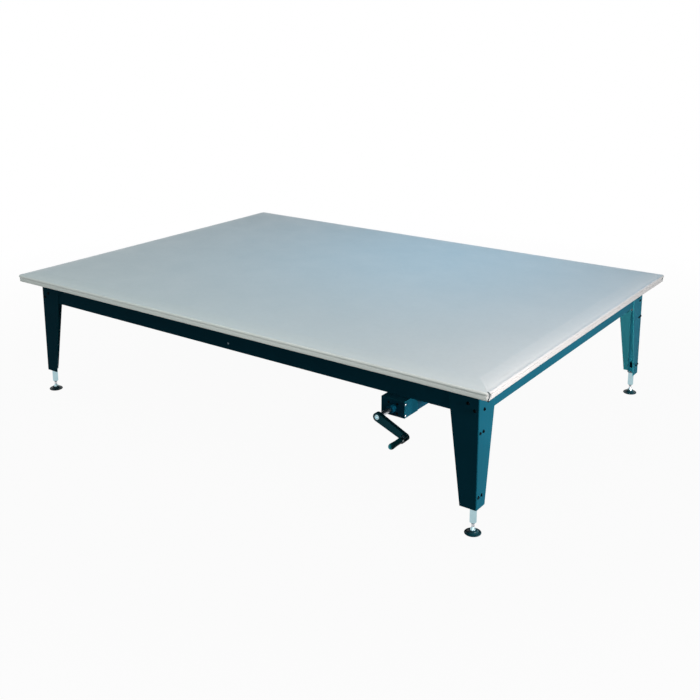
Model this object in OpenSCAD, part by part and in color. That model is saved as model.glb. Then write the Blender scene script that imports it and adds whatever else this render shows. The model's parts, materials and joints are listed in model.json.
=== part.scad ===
/* [Mat] */
// Length of the mat, left to right
mat_l = 2134; // [1900:1:2500]
// Width of the mat, front to back
mat_w = 1524; // [1300:1:1900]
// Corner radius of the mat in plan
mat_corner_r = 26; // [22:1:60]
// Height of the rolled edge above the deck's underside
edge_h = 31; // [28:1:50]
// How far in from the edge the roll reaches the top
edge_roll = 30; // [26:1:36]
// Rise of the crown above the rolled edge
crown_h = 6; // [2:0.5:12]
// How far in from the edge the crown levels out
crown_reach = 320; // [150:1:500]
// How far each side draws in between the corners
draw_in = 3; // [0:0.5:4]
// Thickness of the vinyl cover
cover_t = 1.5; // [1:0.1:2]
// Width of the cover's hem under the deck, from the mat's edge
hem_w = 42; // [25:1:50]
// Foam between the cover and the deck's edge
edge_foam_t = 7; // [5:0.5:10]
// Gap between the foam and what it lies in
soft_gap = 0.3; // [0.2:0.05:0.5]

/* [Deck] */
// Thickness of the plywood deck panels
deck_t = 13; // [10:0.5:16]
// Gap between the two deck panels
panel_gap = 1; // [0.5:0.1:3]
// Height of the deck's underside above the floor, lowered
deck_z = 472; // [465:1:520]

/* [Frame] */
// Overhang of the mat past the legs at the left and right
side_overhang = 63; // [55:1:90]
// Overhang of the mat past the legs at the front and back
front_overhang = 66; // [55:1:90]
// Height of the frame rails
rail_h = 84; // [70:1:95]
// Width of the frame rails
rail_w = 40; // [36:1:50]
// Wall of the frame rails
rail_t = 3; // [2:0.5:4]
// Thickness of the plates that close the front and rear rails
rail_end_t = 4; // [3:0.5:6]
// Height of the cross members
cross_h = 50; // [40:1:54]
// Width of the cross members
cross_w = 40; // [36:1:60]
// Wall of the cross members
cross_t = 2.5; // [2:0.5:4]
// Leg length of the corner gussets
gusset_l = 90; // [60:1:120]
// Thickness of the corner gussets
gusset_t = 4; // [3:0.5:6]

/* [Legs] */
// Thickness of the folded leg plate
leg_t = 3; // [2.5:0.5:5]
// Width of each leg face at the top
leg_top_w = 108; // [100:1:130]
// Width of the front and rear leg faces at the bottom
leg_foot_w = 58; // [56:1:70]
// Width of the side leg faces at the bottom
leg_side_foot_w = 52; // [50:1:60]
// Height of the leg's lower end above the floor, lowered
leg_z = 87; // [80:1:90]
// Radius of the leg's folded edge
leg_bend_r = 4; // [3.5:0.5:6]

/* [Leg bolts] */
// Thread diameter of the leg bolts
bolt_d = 8; // [6:1:8]
// Head diameter of the leg bolts
bolt_head_d = 14; // [12:1:15]
// Head height of the leg bolts
bolt_head_h = 4.5; // [3:0.5:6]
// Length of the leg bolts under the head
bolt_l = 20; // [18:1:24]
// Width across flats of the leg nuts
nut_af = 13; // [11:1:13]
// Height of the leg nuts
nut_h = 6; // [4:0.5:7]
// Height of the upper leg bolts above the rails' underside
bolt_high = 34; // [30:1:50]
// Height of the lower leg bolts above the rails' underside
bolt_low = 15; // [13:1:17]
// Inset of the upper bolts on the front and rear leg faces
front_bolt_high = 38; // [32:1:60]
// Inset of the lower bolts on the front and rear leg faces
front_bolt_low = 15; // [15:1:28]
// Inset of the upper bolts on the side leg faces
side_bolt_high = 53; // [53:1:75]
// Inset of the lower bolts on the side leg faces
side_bolt_low = 31; // [29:1:31]
// Clearance on the radius of a bolt in its hole
bolt_clear = 0.1; // [0.05:0.05:0.3]

/* [Lift cylinders] */
// Travel of the piston rods
lift_stroke = 203; // [150:1:205]
// Outer diameter of the cylinder tubes
cyl_d = 30; // [29:0.5:31]
// Bore of the cylinder tubes
cyl_bore = 24; // [23.5:0.5:25]
// Thickness of the cylinder's closed upper end
cyl_cap_t = 12; // [8:1:14]
// Gap between the cylinder and the side face of the leg
cyl_gap_x = 2; // [2:0.5:4]
// Gap between the cylinder and the front or rear face of the leg
cyl_gap_y = 1.5; // [1:0.5:3]
// Diameter of the piston rods
rod_d = 22; // [20:0.5:22]
// Height of the piston rod's lower end above the floor, lowered
rod_z = 33; // [31:1:36]
// Length of the piston on the rod
piston_l = 20; // [14:1:24]
// Running clearance on the radius of rods and pistons
run_clear = 0.05; // [0.02:0.01:0.08]
// Height of the gland ring under the tube
gland_h = 6; // [4:0.5:6]
// Length of the gland inside the tube
gland_plug_l = 12; // [8:1:16]
// Height of the saddle blocks
block_h = 24; // [20:1:28]
// Length of the saddle blocks along the side leg face
block_l = 34; // [34:1:40]
// How far the saddle blocks reach past the cylinder's axis
block_out = 2; // [1:0.5:4]
// Height of the lower saddle block's middle
block_low_z = 127; // [120:1:132]
// Height of the upper saddle block's middle
block_high_z = 333; // [300:1:340]
// Spacing of the two screws of a saddle block
block_screw_gap = 20; // [20:1:22]
// Thread diameter of the saddle block screws
block_screw_d = 6; // [5:0.5:6]
// Depth of the saddle block screws in the block
block_screw_in = 3.5; // [3:0.5:3.5]
// Head diameter of the saddle block screws
block_head_d = 11; // [9:0.5:12]
// Head height of the saddle block screws
block_head_h = 4; // [3:0.5:5]

/* [Feet] */
// Diameter of the foot pads
pad_d = 53; // [50:1:66]
// Thickness of the foot pads at the rim
pad_rim_h = 4; // [3:0.5:5]
// Height of the foot pads beside the socket
pad_h = 7; // [6:0.5:8]
// Height of the ball's centre above the floor
ball_z = 12; // [11.5:0.5:13]
// Radius of the ball socket in the foot pad
ball_r = 9; // [8:0.5:9]
// Wall of the ball socket
socket_wall = 4; // [3:0.5:5]
// Thread diameter of the levelling studs
stud_d = 10; // [9.5:0.5:12]
// Diameter of the stud's pivot tip
stud_tip_d = 7; // [6:0.5:8]
// Thread length of the stud inside the rod
stud_in_l = 42; // [35:1:50]
// Travel of the levelling studs
level_travel = 15; // [10:1:20]
// Width across the spanner flats of the stud
stud_af = 8; // [7:0.5:9]

/* [Pump] */
// Distance of the pump's middle from the outer face of the right legs
pump_from_leg = 280; // [270:1:330]
// Width of the pump body
pump_w = 79; // [76:1:86]
// Height of the pump body
pump_h = 51; // [49:1:56]
// Length of the pump body
pump_l = 300; // [290:1:340]
// Thickness of the pump's front plate
pump_front_t = 12; // [10:1:16]
// Thickness of the pump's rear plate
pump_rear_t = 16; // [12:1:20]
// Distance that the pump's front stands out past the legs
pump_out = 31; // [25:1:40]
// Thickness of the bracket round the pump
bracket_t = 3; // [2:0.5:4]
// Thickness of the bracket's top plate
bracket_top_t = 4; // [3:0.5:6]
// Diameter of the pump's four bores
pump_bore_d = 18; // [14:0.5:18]
// Wall of the chamber at the pump's front
chamber_wall = 5; // [4:0.5:6]
// Gap round the crosshead in its chamber
head_gap = 0.5; // [0.3:0.1:0.8]
// Travel of the pump pistons
pump_stroke = 82; // [60:1:85]
// Diameter of the crank spindle
spindle_d = 14; // [12:0.5:15]
// Diameter of the boss round the spindle
boss_d = 26; // [22:1:30]
// Length of the boss round the spindle
boss_l = 20; // [15:1:30]
// Thickness of the pump's crosshead
crosshead_t = 12; // [10:1:14]

/* [Crank] */
// Throw of the crank, from the spindle to the fold pin
crank_r = 105; // [95:1:112]
// Angle of the crank below level, lowered
crank_rest = 23; // [15:1:40]
// Distance of the crank arm from the pump's front
arm_off = 74; // [72:1:90]
// Thickness of the crank arm
arm_t = 14; // [12:1:16]
// Width of the crank arm at the hub
arm_hub_w = 28; // [28:1:34]
// Width of the crank arm at its end
arm_end_w = 22; // [22:0.5:24]
// Head diameter of the hub screw
hub_screw_d = 16; // [14:1:18]
// Head height of the hub screw
hub_screw_h = 5; // [4:0.5:6]
// Diameter of the fold pin
fold_pin_d = 5; // [4:0.5:6]
// Width of the folding link between the arm's ears
link_w = 11; // [10:0.5:11.5]
// Gap on each side of the folding link
fold_gap = 0.4; // [0.2:0.1:0.5]
// Diameter of the grip
grip_d = 19; // [18:0.5:21]
// Length of the grip
grip_l = 59; // [50:1:66]
// Diameter of the grip's axle
axle_d = 8; // [7:0.5:9]

/* [Hoses] */
// Outer diameter of the hoses
hose_d = 8; // [6:0.5:8]
// Bend radius of the hoses at their middle line
hose_bend_r = 18; // [15:0.5:18]
// Distance of the hose runs from the outer face of the legs
hose_in = 57; // [56:0.5:60]
// Height of the hose runs above the underside of the rails
hose_up = 22; // [20:0.5:23]
// Distance of the cylinder ports below the rails
port_drop = 18; // [17:0.5:19]
// Spacing of the ports on the pump's rear plate
port_gap = 20; // [16:0.5:20]
// Diameter of the hose fittings
fitting_d = 11; // [10:0.5:12]
// Length of the hose fittings
fitting_l = 14; // [12:0.5:16]
// Diameter of the stubs that the fittings screw in with
fitting_stub_d = 6; // [5:0.5:7]
// Width of the hose clips
clip_w = 16; // [12:1:24]
// Thread diameter of the clip screws
clip_screw_d = 4; // [3:0.5:5]
// Place of the hose clip on the front rail, from the middle
front_clip_x = 15; // [-200:1:200]

/* [Hidden] */
$fn = 64;
overrun = edge_h;
round_fn = 96;

corner_steps = 4;
long_steps = 12;
short_steps = 8;

corner_x = mat_l / 2 - side_overhang;
corner_y = mat_w / 2 - front_overhang;
rail_z = deck_z - rail_h;
rail_back = leg_t + rail_w;
cross_z = deck_z - cross_h;
span_y = corner_y - rail_back;
cyl_in_x = leg_t + cyl_d / 2 + cyl_gap_x;
cyl_in_y = leg_t + cyl_d / 2 + cyl_gap_y;
block_screw_l = leg_t + block_screw_in;
pump_x = corner_x - pump_from_leg;
cross_places = [-pump_x, 0, pump_x];

pump_y = -corner_y - pump_out;
pump_top = rail_z - bracket_top_t;
pump_z = pump_top - pump_h / 2;
body_y = pump_y + pump_front_t;
rear_y = body_y + pump_l;
port_y = rear_y + pump_rear_t;

arm_back = pump_y - arm_off;
arm_front = arm_back - arm_t;
fold_y = arm_front - grip_d / 2 - 2 * fold_gap;
link_l = grip_d / 2;
grip_y = fold_y - link_l;
front_reach = -(grip_y - grip_l);
centre_shift = (front_reach - mat_w / 2) / 2;

spindle_hole_d = spindle_d + 2 * run_clear;
fold_hole_d = fold_pin_d + 2 * run_clear;
stub_hole_d = fitting_stub_d + 2 * run_clear;
fitting_nose_d = (fitting_d + hose_d) / 2;

hose_z = rail_z + hose_up;
port_z = rail_z - port_drop;
hose_y = corner_y - hose_in;
hose_turn_y = port_y + fitting_l + 2 * hose_bend_r;
hose_way_x = pump_w / 2 + bracket_t + 2 * hose_bend_r;
elbow_l = fitting_l - bracket_t / 2;
drop_in = cyl_in_x + elbow_l + 1.5 * hose_bend_r;
port_offset_shares = [1.5, 0.5, -0.5, -1.5];
front_clip_xs = [front_clip_x];
rear_clip_xs = [-corner_x / 2, corner_x / 2];
clip_depth = hose_in - rail_back + hose_d;
clip_screw_in = hose_in - rail_back - hose_d * 0.8;

deck_in = cover_t + draw_in + edge_foam_t;
inner_corner_share = 0.3;
lip_share = 0.3;
// Mat profile from the hem up to the crown: inset as a share of the roll, height as a share of
// the edge, and how much of the sides' draw applies there
edge_shares = [
    [0.25, 0, 1],
    [0.08, 0.06, 1],
    [0, 0.28, 1],
    [0.03, 0.55, 1],
    [0.15, 0.77, 1],
    [0.42, 0.93, 0.8],
    [1, 1, 0.4]
];
// The crown past the roll: inset as a share of its reach, height as a share of its rise
crown_shares = [[0.4, 0.6, 0], [1, 1, 0]];

// Bolt places on the faces of a leg: inset from the leg's corner and height
bolt_hole_d = bolt_d + 2 * bolt_clear;
front_bolts = [[front_bolt_high, rail_z + bolt_high], [front_bolt_low, rail_z + bolt_low]];
side_bolts = [[side_bolt_high, rail_z + bolt_high], [side_bolt_low, rail_z + bolt_low]];

block_screws_at = [
    for (z = [block_low_z, block_high_z], s = [-0.5, 0.5]) [cyl_in_y + s * block_screw_gap, z]
];
cyl_z = leg_z + gland_h + leg_t;
cyl_top = rail_z;

function mix(a, b, t) = a + (b - a) * t;

// One level of the mat: a rounded rectangle at an inset, with its sides drawn in by a share
function level_point(c, d, hx, hy, r) = [c[0] * (hx - r) + r * cos(d), c[1] * (hy - r) + r * sin(d)];
function corner_sign(k) = [[1, 1], [-1, 1], [-1, -1], [1, -1]][k % 4];
function level_xy(inset, pull) =
    let (hx = mat_l / 2 - inset)
    let (hy = mat_w / 2 - inset)
    let (r = max(mat_corner_r - inset, mat_corner_r * inner_corner_share))
    [
        for (k = [0:3]) each concat(
            [
                for (i = [0:corner_steps])
                    level_point(corner_sign(k), 90 * (k + i / corner_steps), hx, hy, r)
            ],
            let (n = k % 2 == 0 ? long_steps : short_steps)
            let (a = level_point(corner_sign(k), 90 * (k + 1), hx, hy, r))
            let (b = level_point(corner_sign(k + 1), 90 * (k + 1), hx, hy, r))
            let (out = [cos(90 * (k + 1)), sin(90 * (k + 1))])
            [for (j = [1:n - 1]) mix(a, b, j / n) - out * pull * draw_in * (1 - pow(2 * j / n - 1, 4))]
        )
    ];
function level(s) = [for (p = level_xy(s[0], s[2])) [p[0], p[1], deck_z + s[1]]];

// The mat's outer profile from the hem upwards, as inset, height and share of the draw
profile = concat(
    [for (s = edge_shares) [s[0] * edge_roll, s[1] * edge_h, s[2]]],
    [for (s = crown_shares) [s[0] * crown_reach, edge_h + s[1] * crown_h, s[2]]]
);
last = len(profile) - 1;
function run(i) = let (d = profile[min(i + 1, last)] - profile[max(i - 1, 0)]) [d[0], d[1]];
function slope(i) = run(i) / norm(run(i));
function sunk(i, t) =
    let (n = slope(i))
    [profile[i][0] + n[1] * t, profile[i][1] - n[0] * t, profile[i][2]];

// A closed solid through a list of levels, with a cap at each end
module loft(levels) {
    rings = [for (s = levels) level(s)];
    n = len(rings[0]);
    m = len(rings);
    first_cap = [0, 0, deck_z + levels[0][1]];
    last_cap = [0, 0, deck_z + levels[m - 1][1]];
    points = concat([for (r = rings) each r], [first_cap, last_cap]);
    sides = [
        for (i = [0:m - 2], j = [0:n - 1])
            let (a = i * n + j)
            let (b = i * n + (j + 1) % n)
            each [[a, a + n, b + n], [a, b + n, b]]
    ];
    first_faces = [for (j = [0:n - 1]) [m * n, j, (j + 1) % n]];
    last_faces = [for (j = [0:n - 1]) [(m - 1) * n + j, m * n + 1, (m - 1) * n + (j + 1) % n]];
    polyhedron(points = points, faces = concat(sides, first_faces, last_faces));
}

module at_frame() {
    translate([0, centre_shift, 0]) children();
}

// Places something at a leg: X and Y run inwards from the leg's outer corner
module at_leg(side, end) {
    at_frame()
        translate([side * corner_x, end * corner_y, 0])
            mirror([side > 0 ? 1 : 0, 0, 0])
                mirror([0, end > 0 ? 1 : 0, 0])
                    children();
}

module at_legs() {
    for (side = [-1, 1], end = [-1, 1]) at_leg(side, end) children();
}

// A bolt or hole along +X or +Y, from a point
module along_x(at, d, l) {
    translate(at) rotate([0, 90, 0]) cylinder(d = d, h = l);
}

module along_y(at, d, l) {
    translate(at) rotate([-90, 0, 0]) cylinder(d = d, h = l);
}

// Mat and deck

module mat_cover() {
    at_frame() color([0.70, 0.75, 0.78]) loft(concat(
        [for (i = [last:-1:1]) sunk(i, cover_t)],
        [[profile[0][0], 0, 1], [hem_w, 0, 0], [hem_w, -cover_t, 0], [profile[0][0], -cover_t, 1]],
        [for (i = [1:last]) profile[i]]
    ));
}

module mat_foam() {
    foam_in = cover_t + soft_gap;
    lip = deck_t * lip_share;
    at_frame() color([0.92, 0.88, 0.70]) loft(concat(
        [[deck_in - soft_gap, deck_t + soft_gap, 0], [deck_in - soft_gap, lip, 0]],
        [for (i = [2:last]) sunk(i, foam_in)]
    ));
}

module deck_panel(side) {
    color([0.80, 0.65, 0.45]) difference() {
        at_frame() translate([0, 0, deck_z]) intersection() {
            linear_extrude(deck_t) polygon(level_xy(deck_in, 0));
            translate([side > 0 ? panel_gap / 2 : -panel_gap / 2 - mat_l, -mat_w, -overrun])
                cube([mat_l, 2 * mat_w, deck_t + 2 * overrun]);
        }
        at_deck_clips() translate([0, clip_leg / 2 + clip_plate_t, -overrun])
            cylinder(d = deck_screw_d + 2 * run_clear, h = overrun + deck_screw_l - clip_plate_t);
    }
}

// Angle clips between the rails and the deck
clip_leg = rail_w * 0.7;
clip_plate_t = rail_t;
clip_long_shares = [-0.42, -0.16, 0.16, 0.42];
clip_short_shares = [-0.36, 0.1, 0.36];
deck_screw_d = clip_plate_t * 1.4;
deck_screw_l = deck_t * 0.75 + clip_plate_t;

module at_deck_clips() {
    for (end = [-1, 1], s = clip_long_shares)
        at_frame() translate([s * 2 * corner_x, end * span_y, deck_z])
            rotate([0, 0, end > 0 ? 180 : 0]) children();
    for (side = [-1, 1], s = clip_short_shares)
        at_frame() translate([side * (corner_x - rail_back), s * 2 * span_y, deck_z])
            rotate([0, 0, side > 0 ? 90 : -90]) children();
}

module deck_clips() {
    color([0.06, 0.20, 0.27]) at_deck_clips() difference() {
        translate([-clip_leg / 2, 0, -clip_leg]) difference() {
            cube([clip_leg, clip_leg, clip_leg]);
            translate([-overrun, clip_plate_t, -overrun])
                cube([clip_leg + 2 * overrun, clip_leg, clip_leg + overrun - clip_plate_t]);
        }
        translate([0, clip_leg / 2 + clip_plate_t, -overrun])
            cylinder(d = deck_screw_d + 2 * bolt_clear, h = 2 * overrun);
    }
}

module deck_screws() {
    color("silver") at_deck_clips() translate([0, clip_leg / 2 + clip_plate_t, -clip_plate_t]) {
        cylinder(d = deck_screw_d, h = deck_screw_l);
        translate([0, 0, -deck_screw_d / 2]) cylinder(d = deck_screw_d * 2, h = deck_screw_d / 2);
    }
}

// Frame

paint = [0.06, 0.20, 0.27];

// A square tube along X, centred, with its outer face at Y = 0 and its foot at Z = 0
module tube(l, w, h, t, end_t) {
    difference() {
        translate([-l / 2, 0, 0]) cube([l, w, h]);
        translate([-l / 2 + end_t, t, t]) cube([l - 2 * end_t, w - 2 * t, h - 2 * t]);
    }
}

module long_rail(end) {
    l = 2 * (corner_x - leg_t);
    at_frame() color(paint) mirror([0, end > 0 ? 1 : 0, 0])
        translate([0, -corner_y + leg_t, rail_z]) difference() {
            tube(l, rail_w, rail_h, rail_t, rail_end_t);
            for (side = [-1, 1]) {
                for (b = front_bolts)
                    along_y([side * (corner_x - b[0]), -overrun, b[1] - rail_z], bolt_hole_d, 2 * overrun);
                translate([side * l / 2, side_bolts[1][0] - leg_t, side_bolts[1][1] - rail_z])
                    along_x([-overrun, 0, 0], bolt_hole_d, 2 * overrun);
                translate([side * l / 4, rail_w / 2, -overrun])
                    cylinder(d = bolt_d, h = overrun + 2 * rail_t);
            }
            for (x = end < 0 ? front_clip_xs : rear_clip_xs)
                along_y([x, -overrun, hose_up], clip_screw_d + 2 * bolt_clear, rail_w + 2 * overrun);
        }
}

module side_rail(side) {
    at_frame() color(paint) translate([side * (corner_x - leg_t), 0, rail_z])
        rotate([0, 0, side > 0 ? 90 : -90]) difference() {
            tube(2 * span_y, rail_w, rail_h, rail_t, -overrun);
            for (end = [-1, 1])
                translate([end * (corner_y - side_bolts[0][0]), 0, side_bolts[0][1] - rail_z])
                    along_y([0, -overrun, 0], bolt_hole_d, 2 * overrun);
        }
}

module cross_members() {
    at_frame() color(paint) for (x = cross_places)
        translate([x + cross_w / 2, 0, cross_z]) rotate([0, 0, 90])
            tube(2 * span_y, cross_w, cross_h, cross_t, -overrun);
}

module corner_gussets() {
    at_legs() color(paint) translate([rail_back, rail_back, deck_z - gusset_t])
        linear_extrude(gusset_t) polygon([[0, 0], [gusset_l, 0], [0, gusset_l]]);
}

// One face of a leg in its own plane: it narrows towards the floor
module leg_face(foot_w) {
    linear_extrude(leg_t) polygon([
        [0, leg_z], [foot_w, leg_z], [leg_top_w, deck_z], [0, deck_z]
    ]);
}

module leg_shape() {
    intersection() {
        union() {
            translate([0, leg_t, 0]) rotate([90, 0, 0]) leg_face(leg_foot_w);
            rotate([90, 0, 90]) leg_face(leg_side_foot_w);
        }
        linear_extrude(deck_z) union() {
            translate([leg_bend_r, leg_bend_r]) circle(r = leg_bend_r);
            translate([leg_bend_r, 0]) square([leg_top_w, leg_top_w]);
            translate([0, leg_bend_r]) square([leg_top_w, leg_top_w]);
        }
    }
}

module leg(side, end) {
    at_leg(side, end) color(paint) difference() {
        leg_shape();
        for (b = front_bolts) along_y([b[0], -overrun, b[1]], bolt_hole_d, 2 * overrun);
        for (b = side_bolts) along_x([-overrun, b[0], b[1]], bolt_hole_d, 2 * overrun);
        for (p = block_screws_at)
            along_x([-overrun, p[0], p[1]], block_screw_d + 2 * bolt_clear, 2 * overrun);
    }
}

// A domed screw head, hanging from Z = 0
module domed_head(d, h) {
    r = (d * d / 4 + h * h) / (2 * h);
    rotate_extrude() intersection() {
        translate([0, r - h]) circle(r = r, $fn = round_fn);
        translate([0, -h]) square([d / 2, h]);
    }
}

module nut(d, af, h) {
    difference() {
        cylinder(d = af / cos(30), h = h, $fn = 6);
        translate([0, 0, -overrun]) cylinder(d = d + 2 * run_clear, h = h + 2 * overrun, $fn = round_fn);
    }
}

// A screw along +Z from the underside of its domed head
module screw(d, l, head_d, head_h) {
    cylinder(d = d, h = l);
    domed_head(head_d, head_h);
}

module leg_bolts() {
    at_legs() color("dimgray") {
        for (b = front_bolts) translate([b[0], 0, b[1]]) rotate([-90, 0, 0]) {
            screw(bolt_d, bolt_l, bolt_head_d, bolt_head_h);
            translate([0, 0, leg_t + rail_t]) nut(bolt_d, nut_af, nut_h);
        }
        for (i = [0, 1]) translate([0, side_bolts[i][0], side_bolts[i][1]]) rotate([0, 90, 0]) {
            screw(bolt_d, bolt_l, bolt_head_d, bolt_head_h);
            translate([0, 0, leg_t + (i == 0 ? rail_t : rail_end_t)]) nut(bolt_d, nut_af, nut_h);
        }
    }
}

// Lift cylinders

module cylinder_tube(side, end) {
    h = cyl_top - cyl_z;
    at_leg(side, end) color([0.10, 0.11, 0.12]) translate([cyl_in_x, cyl_in_y, cyl_z]) difference() {
        cylinder(d = cyl_d, h = h);
        translate([0, 0, -overrun]) cylinder(d = cyl_bore, h = h - cyl_cap_t + overrun);
        along_y([0, 0, port_z - cyl_z], stub_hole_d, cyl_d);
    }
}

module cylinder_glands() {
    at_legs() color("gray") translate([cyl_in_x, cyl_in_y, cyl_z - gland_h]) difference() {
        union() {
            cylinder(d = cyl_d, h = gland_h);
            cylinder(d = cyl_bore - 2 * run_clear, h = gland_h + gland_plug_l);
        }
        translate([0, 0, -overrun]) cylinder(d = rod_d + 2 * run_clear, h = cyl_d + 2 * overrun);
    }
}

module cylinder_blocks() {
    at_legs() color([0.10, 0.11, 0.12]) for (z = [block_low_z, block_high_z]) difference() {
        translate([leg_t, leg_t, z - block_h / 2])
            cube([cyl_in_x + block_out - leg_t, block_l, block_h]);
        translate([cyl_in_x, cyl_in_y, z - block_h]) cylinder(d = cyl_d, h = 2 * block_h);
        for (p = block_screws_at)
            along_x([0, p[0], p[1]], block_screw_d + 2 * run_clear, block_screw_l);
    }
}

module block_screws() {
    at_legs() color("dimgray") for (p = block_screws_at)
        translate([0, p[0], p[1]]) rotate([0, 90, 0])
            screw(block_screw_d, block_screw_l, block_head_d, block_head_h);
}

rod_top = port_z - fitting_stub_d;
rod_chamfer = rod_d / 5;

module piston_rod(side, end) {
    at_leg(side, end) color("lightgray") translate([cyl_in_x, cyl_in_y, rod_z]) difference() {
        union() {
            cylinder(d1 = rod_d - 2 * rod_chamfer, d2 = rod_d, h = rod_chamfer, $fn = round_fn);
            translate([0, 0, rod_chamfer]) cylinder(d = rod_d, h = rod_top - rod_z - rod_chamfer);
            translate([0, 0, rod_top - rod_z - piston_l])
                cylinder(d = cyl_bore - 2 * run_clear, h = piston_l);
        }
        translate([0, 0, -overrun])
            cylinder(d = stud_d + 2 * run_clear, h = stud_in_l + rod_chamfer + overrun);
    }
}

// Feet: heights are above the floor

swivel_top = ball_z + ball_r;
flat_l = (rod_z - swivel_top) / 2;

module levelling_stud(side, end) {
    at_leg(side, end) color("silver") translate([cyl_in_x, cyl_in_y, 0]) difference() {
        union() {
            translate([0, 0, ball_z]) cylinder(d = stud_tip_d, h = ball_r);
            translate([0, 0, swivel_top]) cylinder(d = stud_d, h = rod_z + stud_in_l - swivel_top);
        }
        for (s = [-1, 1])
            translate([s * (stud_af + stud_d) / 2, 0, swivel_top + flat_l])
                cube([stud_d, 2 * stud_d, flat_l], center = true);
    }
}

// The chrome swivel: a ball below and a cone above, bored for the stud's tip
module swivel(side, end) {
    at_leg(side, end) color("silver") translate([cyl_in_x, cyl_in_y, ball_z]) difference() {
        union() {
            intersection() {
                sphere(r = ball_r - 2 * run_clear, $fn = round_fn);
                translate([0, 0, -ball_r]) cylinder(r = ball_r, h = ball_r);
            }
            cylinder(r1 = ball_r - 2 * run_clear, r2 = stud_d / 2, h = ball_r, $fn = round_fn);
        }
        cylinder(d = stud_tip_d + 2 * run_clear, h = ball_r + overrun);
    }
}

module foot_pad(side, end) {
    r = pad_d / 2;
    lip = pad_rim_h / 4;
    socket_r = ball_r + socket_wall;
    at_leg(side, end) color([0.05, 0.08, 0.10]) translate([cyl_in_x, cyl_in_y, 0])
        rotate_extrude($fn = round_fn) difference() {
            polygon([
                [0, 0], [r - lip, 0], [r, lip], [r, pad_rim_h - lip], [r - 2 * lip, pad_rim_h],
                [socket_r + 2 * lip, pad_h], [socket_r, ball_z - lip], [socket_r - lip, ball_z],
                [0, ball_z]
            ]);
            translate([0, ball_z]) circle(r = ball_r, $fn = round_fn);
        }
}

// Pump

chamber_gap = boss_d / 4;
chamber_l = pump_stroke + crosshead_t + 2 * chamber_gap;
bore_x = pump_w / 2 - chamber_wall - head_gap - pump_bore_d / 2;
bore_z = pump_h / 2 - chamber_wall - head_gap - pump_bore_d / 2;
spindle_in = spindle_d;
piston_guide = pump_bore_d;
port_in = pump_rear_t / 2;
plate_screw_d = pump_front_t * 0.35;
plate_screw_hole_d = plate_screw_d + 2 * run_clear;
plate_screw_in = pump_front_t;
plate_screw_y = pump_y + pump_front_t / 2;
side_screw_z = pump_h * 0.36;
face_screw_l = pump_front_t * 0.75;
face_screw_at = boss_d * 0.6;

module at_pump() {
    at_frame() translate([pump_x, 0, pump_z]) children();
}

module pump_block(y, l, w, h) {
    translate([-w / 2, y, -h / 2]) cube([w, l, h]);
}

module at_bores() {
    for (sx = [-1, 1], sz = [-1, 1]) translate([sx * bore_x, 0, sz * bore_z]) children();
}

module pump_body() {
    at_pump() color([0.07, 0.08, 0.09]) difference() {
        pump_block(body_y, pump_l, pump_w, pump_h);
        pump_block(
            body_y - overrun, chamber_l + overrun,
            pump_w - 2 * chamber_wall, pump_h - 2 * chamber_wall
        );
        at_bores() along_y([0, body_y + chamber_l - overrun, 0], pump_bore_d, pump_l);
        along_y([0, body_y + chamber_l - overrun, 0], spindle_hole_d, overrun + spindle_in + head_gap);
    }
}

module pump_front_plate() {
    at_pump() color([0.07, 0.08, 0.09]) difference() {
        union() {
            pump_block(pump_y, pump_front_t, pump_w, pump_h);
            along_y([0, pump_y - boss_l, 0], boss_d, boss_l + pump_front_t / 2);
        }
        along_y([0, pump_y - 2 * boss_l, 0], spindle_hole_d, pump_l);
        for (s = [-1, 1], z = [-1, 1]) {
            translate([s * pump_w / 2 - plate_screw_in, plate_screw_y, z * side_screw_z])
                along_x([0, 0, 0], plate_screw_hole_d, 2 * plate_screw_in);
            translate([s * face_screw_at, pump_y, z * face_screw_at])
                along_y([0, -overrun, 0], plate_screw_hole_d, overrun + face_screw_l);
        }
    }
}

module pump_rear_plate() {
    at_pump() color([0.07, 0.08, 0.09]) difference() {
        pump_block(rear_y, pump_rear_t, pump_w, pump_h);
        for (s = port_offset_shares)
            along_y([s * port_gap, port_y - port_in, 0], stub_hole_d, port_in + overrun);
    }
}

bracket_l = pump_out + leg_t + rail_w + bracket_t;
hanger_l = rail_w * 0.75;

module pump_bracket() {
    w = pump_w + 2 * bracket_t;
    rise = cross_z - pump_z + pump_h / 2;
    at_pump() color(paint) difference() {
        translate([-w / 2, pump_y, -pump_h / 2]) cube([w, bracket_l, pump_h + bracket_top_t]);
        translate([-pump_w / 2, pump_y - overrun, -pump_h / 2 - overrun])
            cube([pump_w, bracket_l + 2 * overrun, pump_h + overrun]);
        for (z = [-1, 1])
            along_x([-w, plate_screw_y, z * side_screw_z], plate_screw_d + 2 * bolt_clear, 2 * w);
    }
    at_pump() color(paint) translate([0, rear_y - 2 * hanger_l, -pump_h / 2]) difference() {
        translate([-w / 2, 0, -bracket_t]) cube([w, hanger_l, rise + bracket_t]);
        translate([-pump_w / 2, -overrun, 0])
            cube([pump_w, hanger_l + 2 * overrun, rise - bracket_t]);
    }
}

module pump_screws() {
    at_pump() color("silver") for (s = [-1, 1], z = [-1, 1]) {
        translate([s * (pump_w / 2 + bracket_t), plate_screw_y, z * side_screw_z])
            rotate([0, -s * 90, 0])
                screw(plate_screw_d, plate_screw_in, 2 * plate_screw_d, plate_screw_d / 2);
        translate([s * face_screw_at, pump_y, z * face_screw_at])
            rotate([-90, 0, 0])
                screw(plate_screw_d, face_screw_l, 2 * plate_screw_d, plate_screw_d / 2);
    }
}

module pump_crosshead() {
    at_pump() color("gray") difference() {
        pump_block(
            body_y + chamber_gap, crosshead_t,
            pump_w - 2 * (chamber_wall + head_gap), pump_h - 2 * (chamber_wall + head_gap)
        );
        along_y([0, body_y, 0], spindle_hole_d, chamber_l);
    }
}

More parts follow.
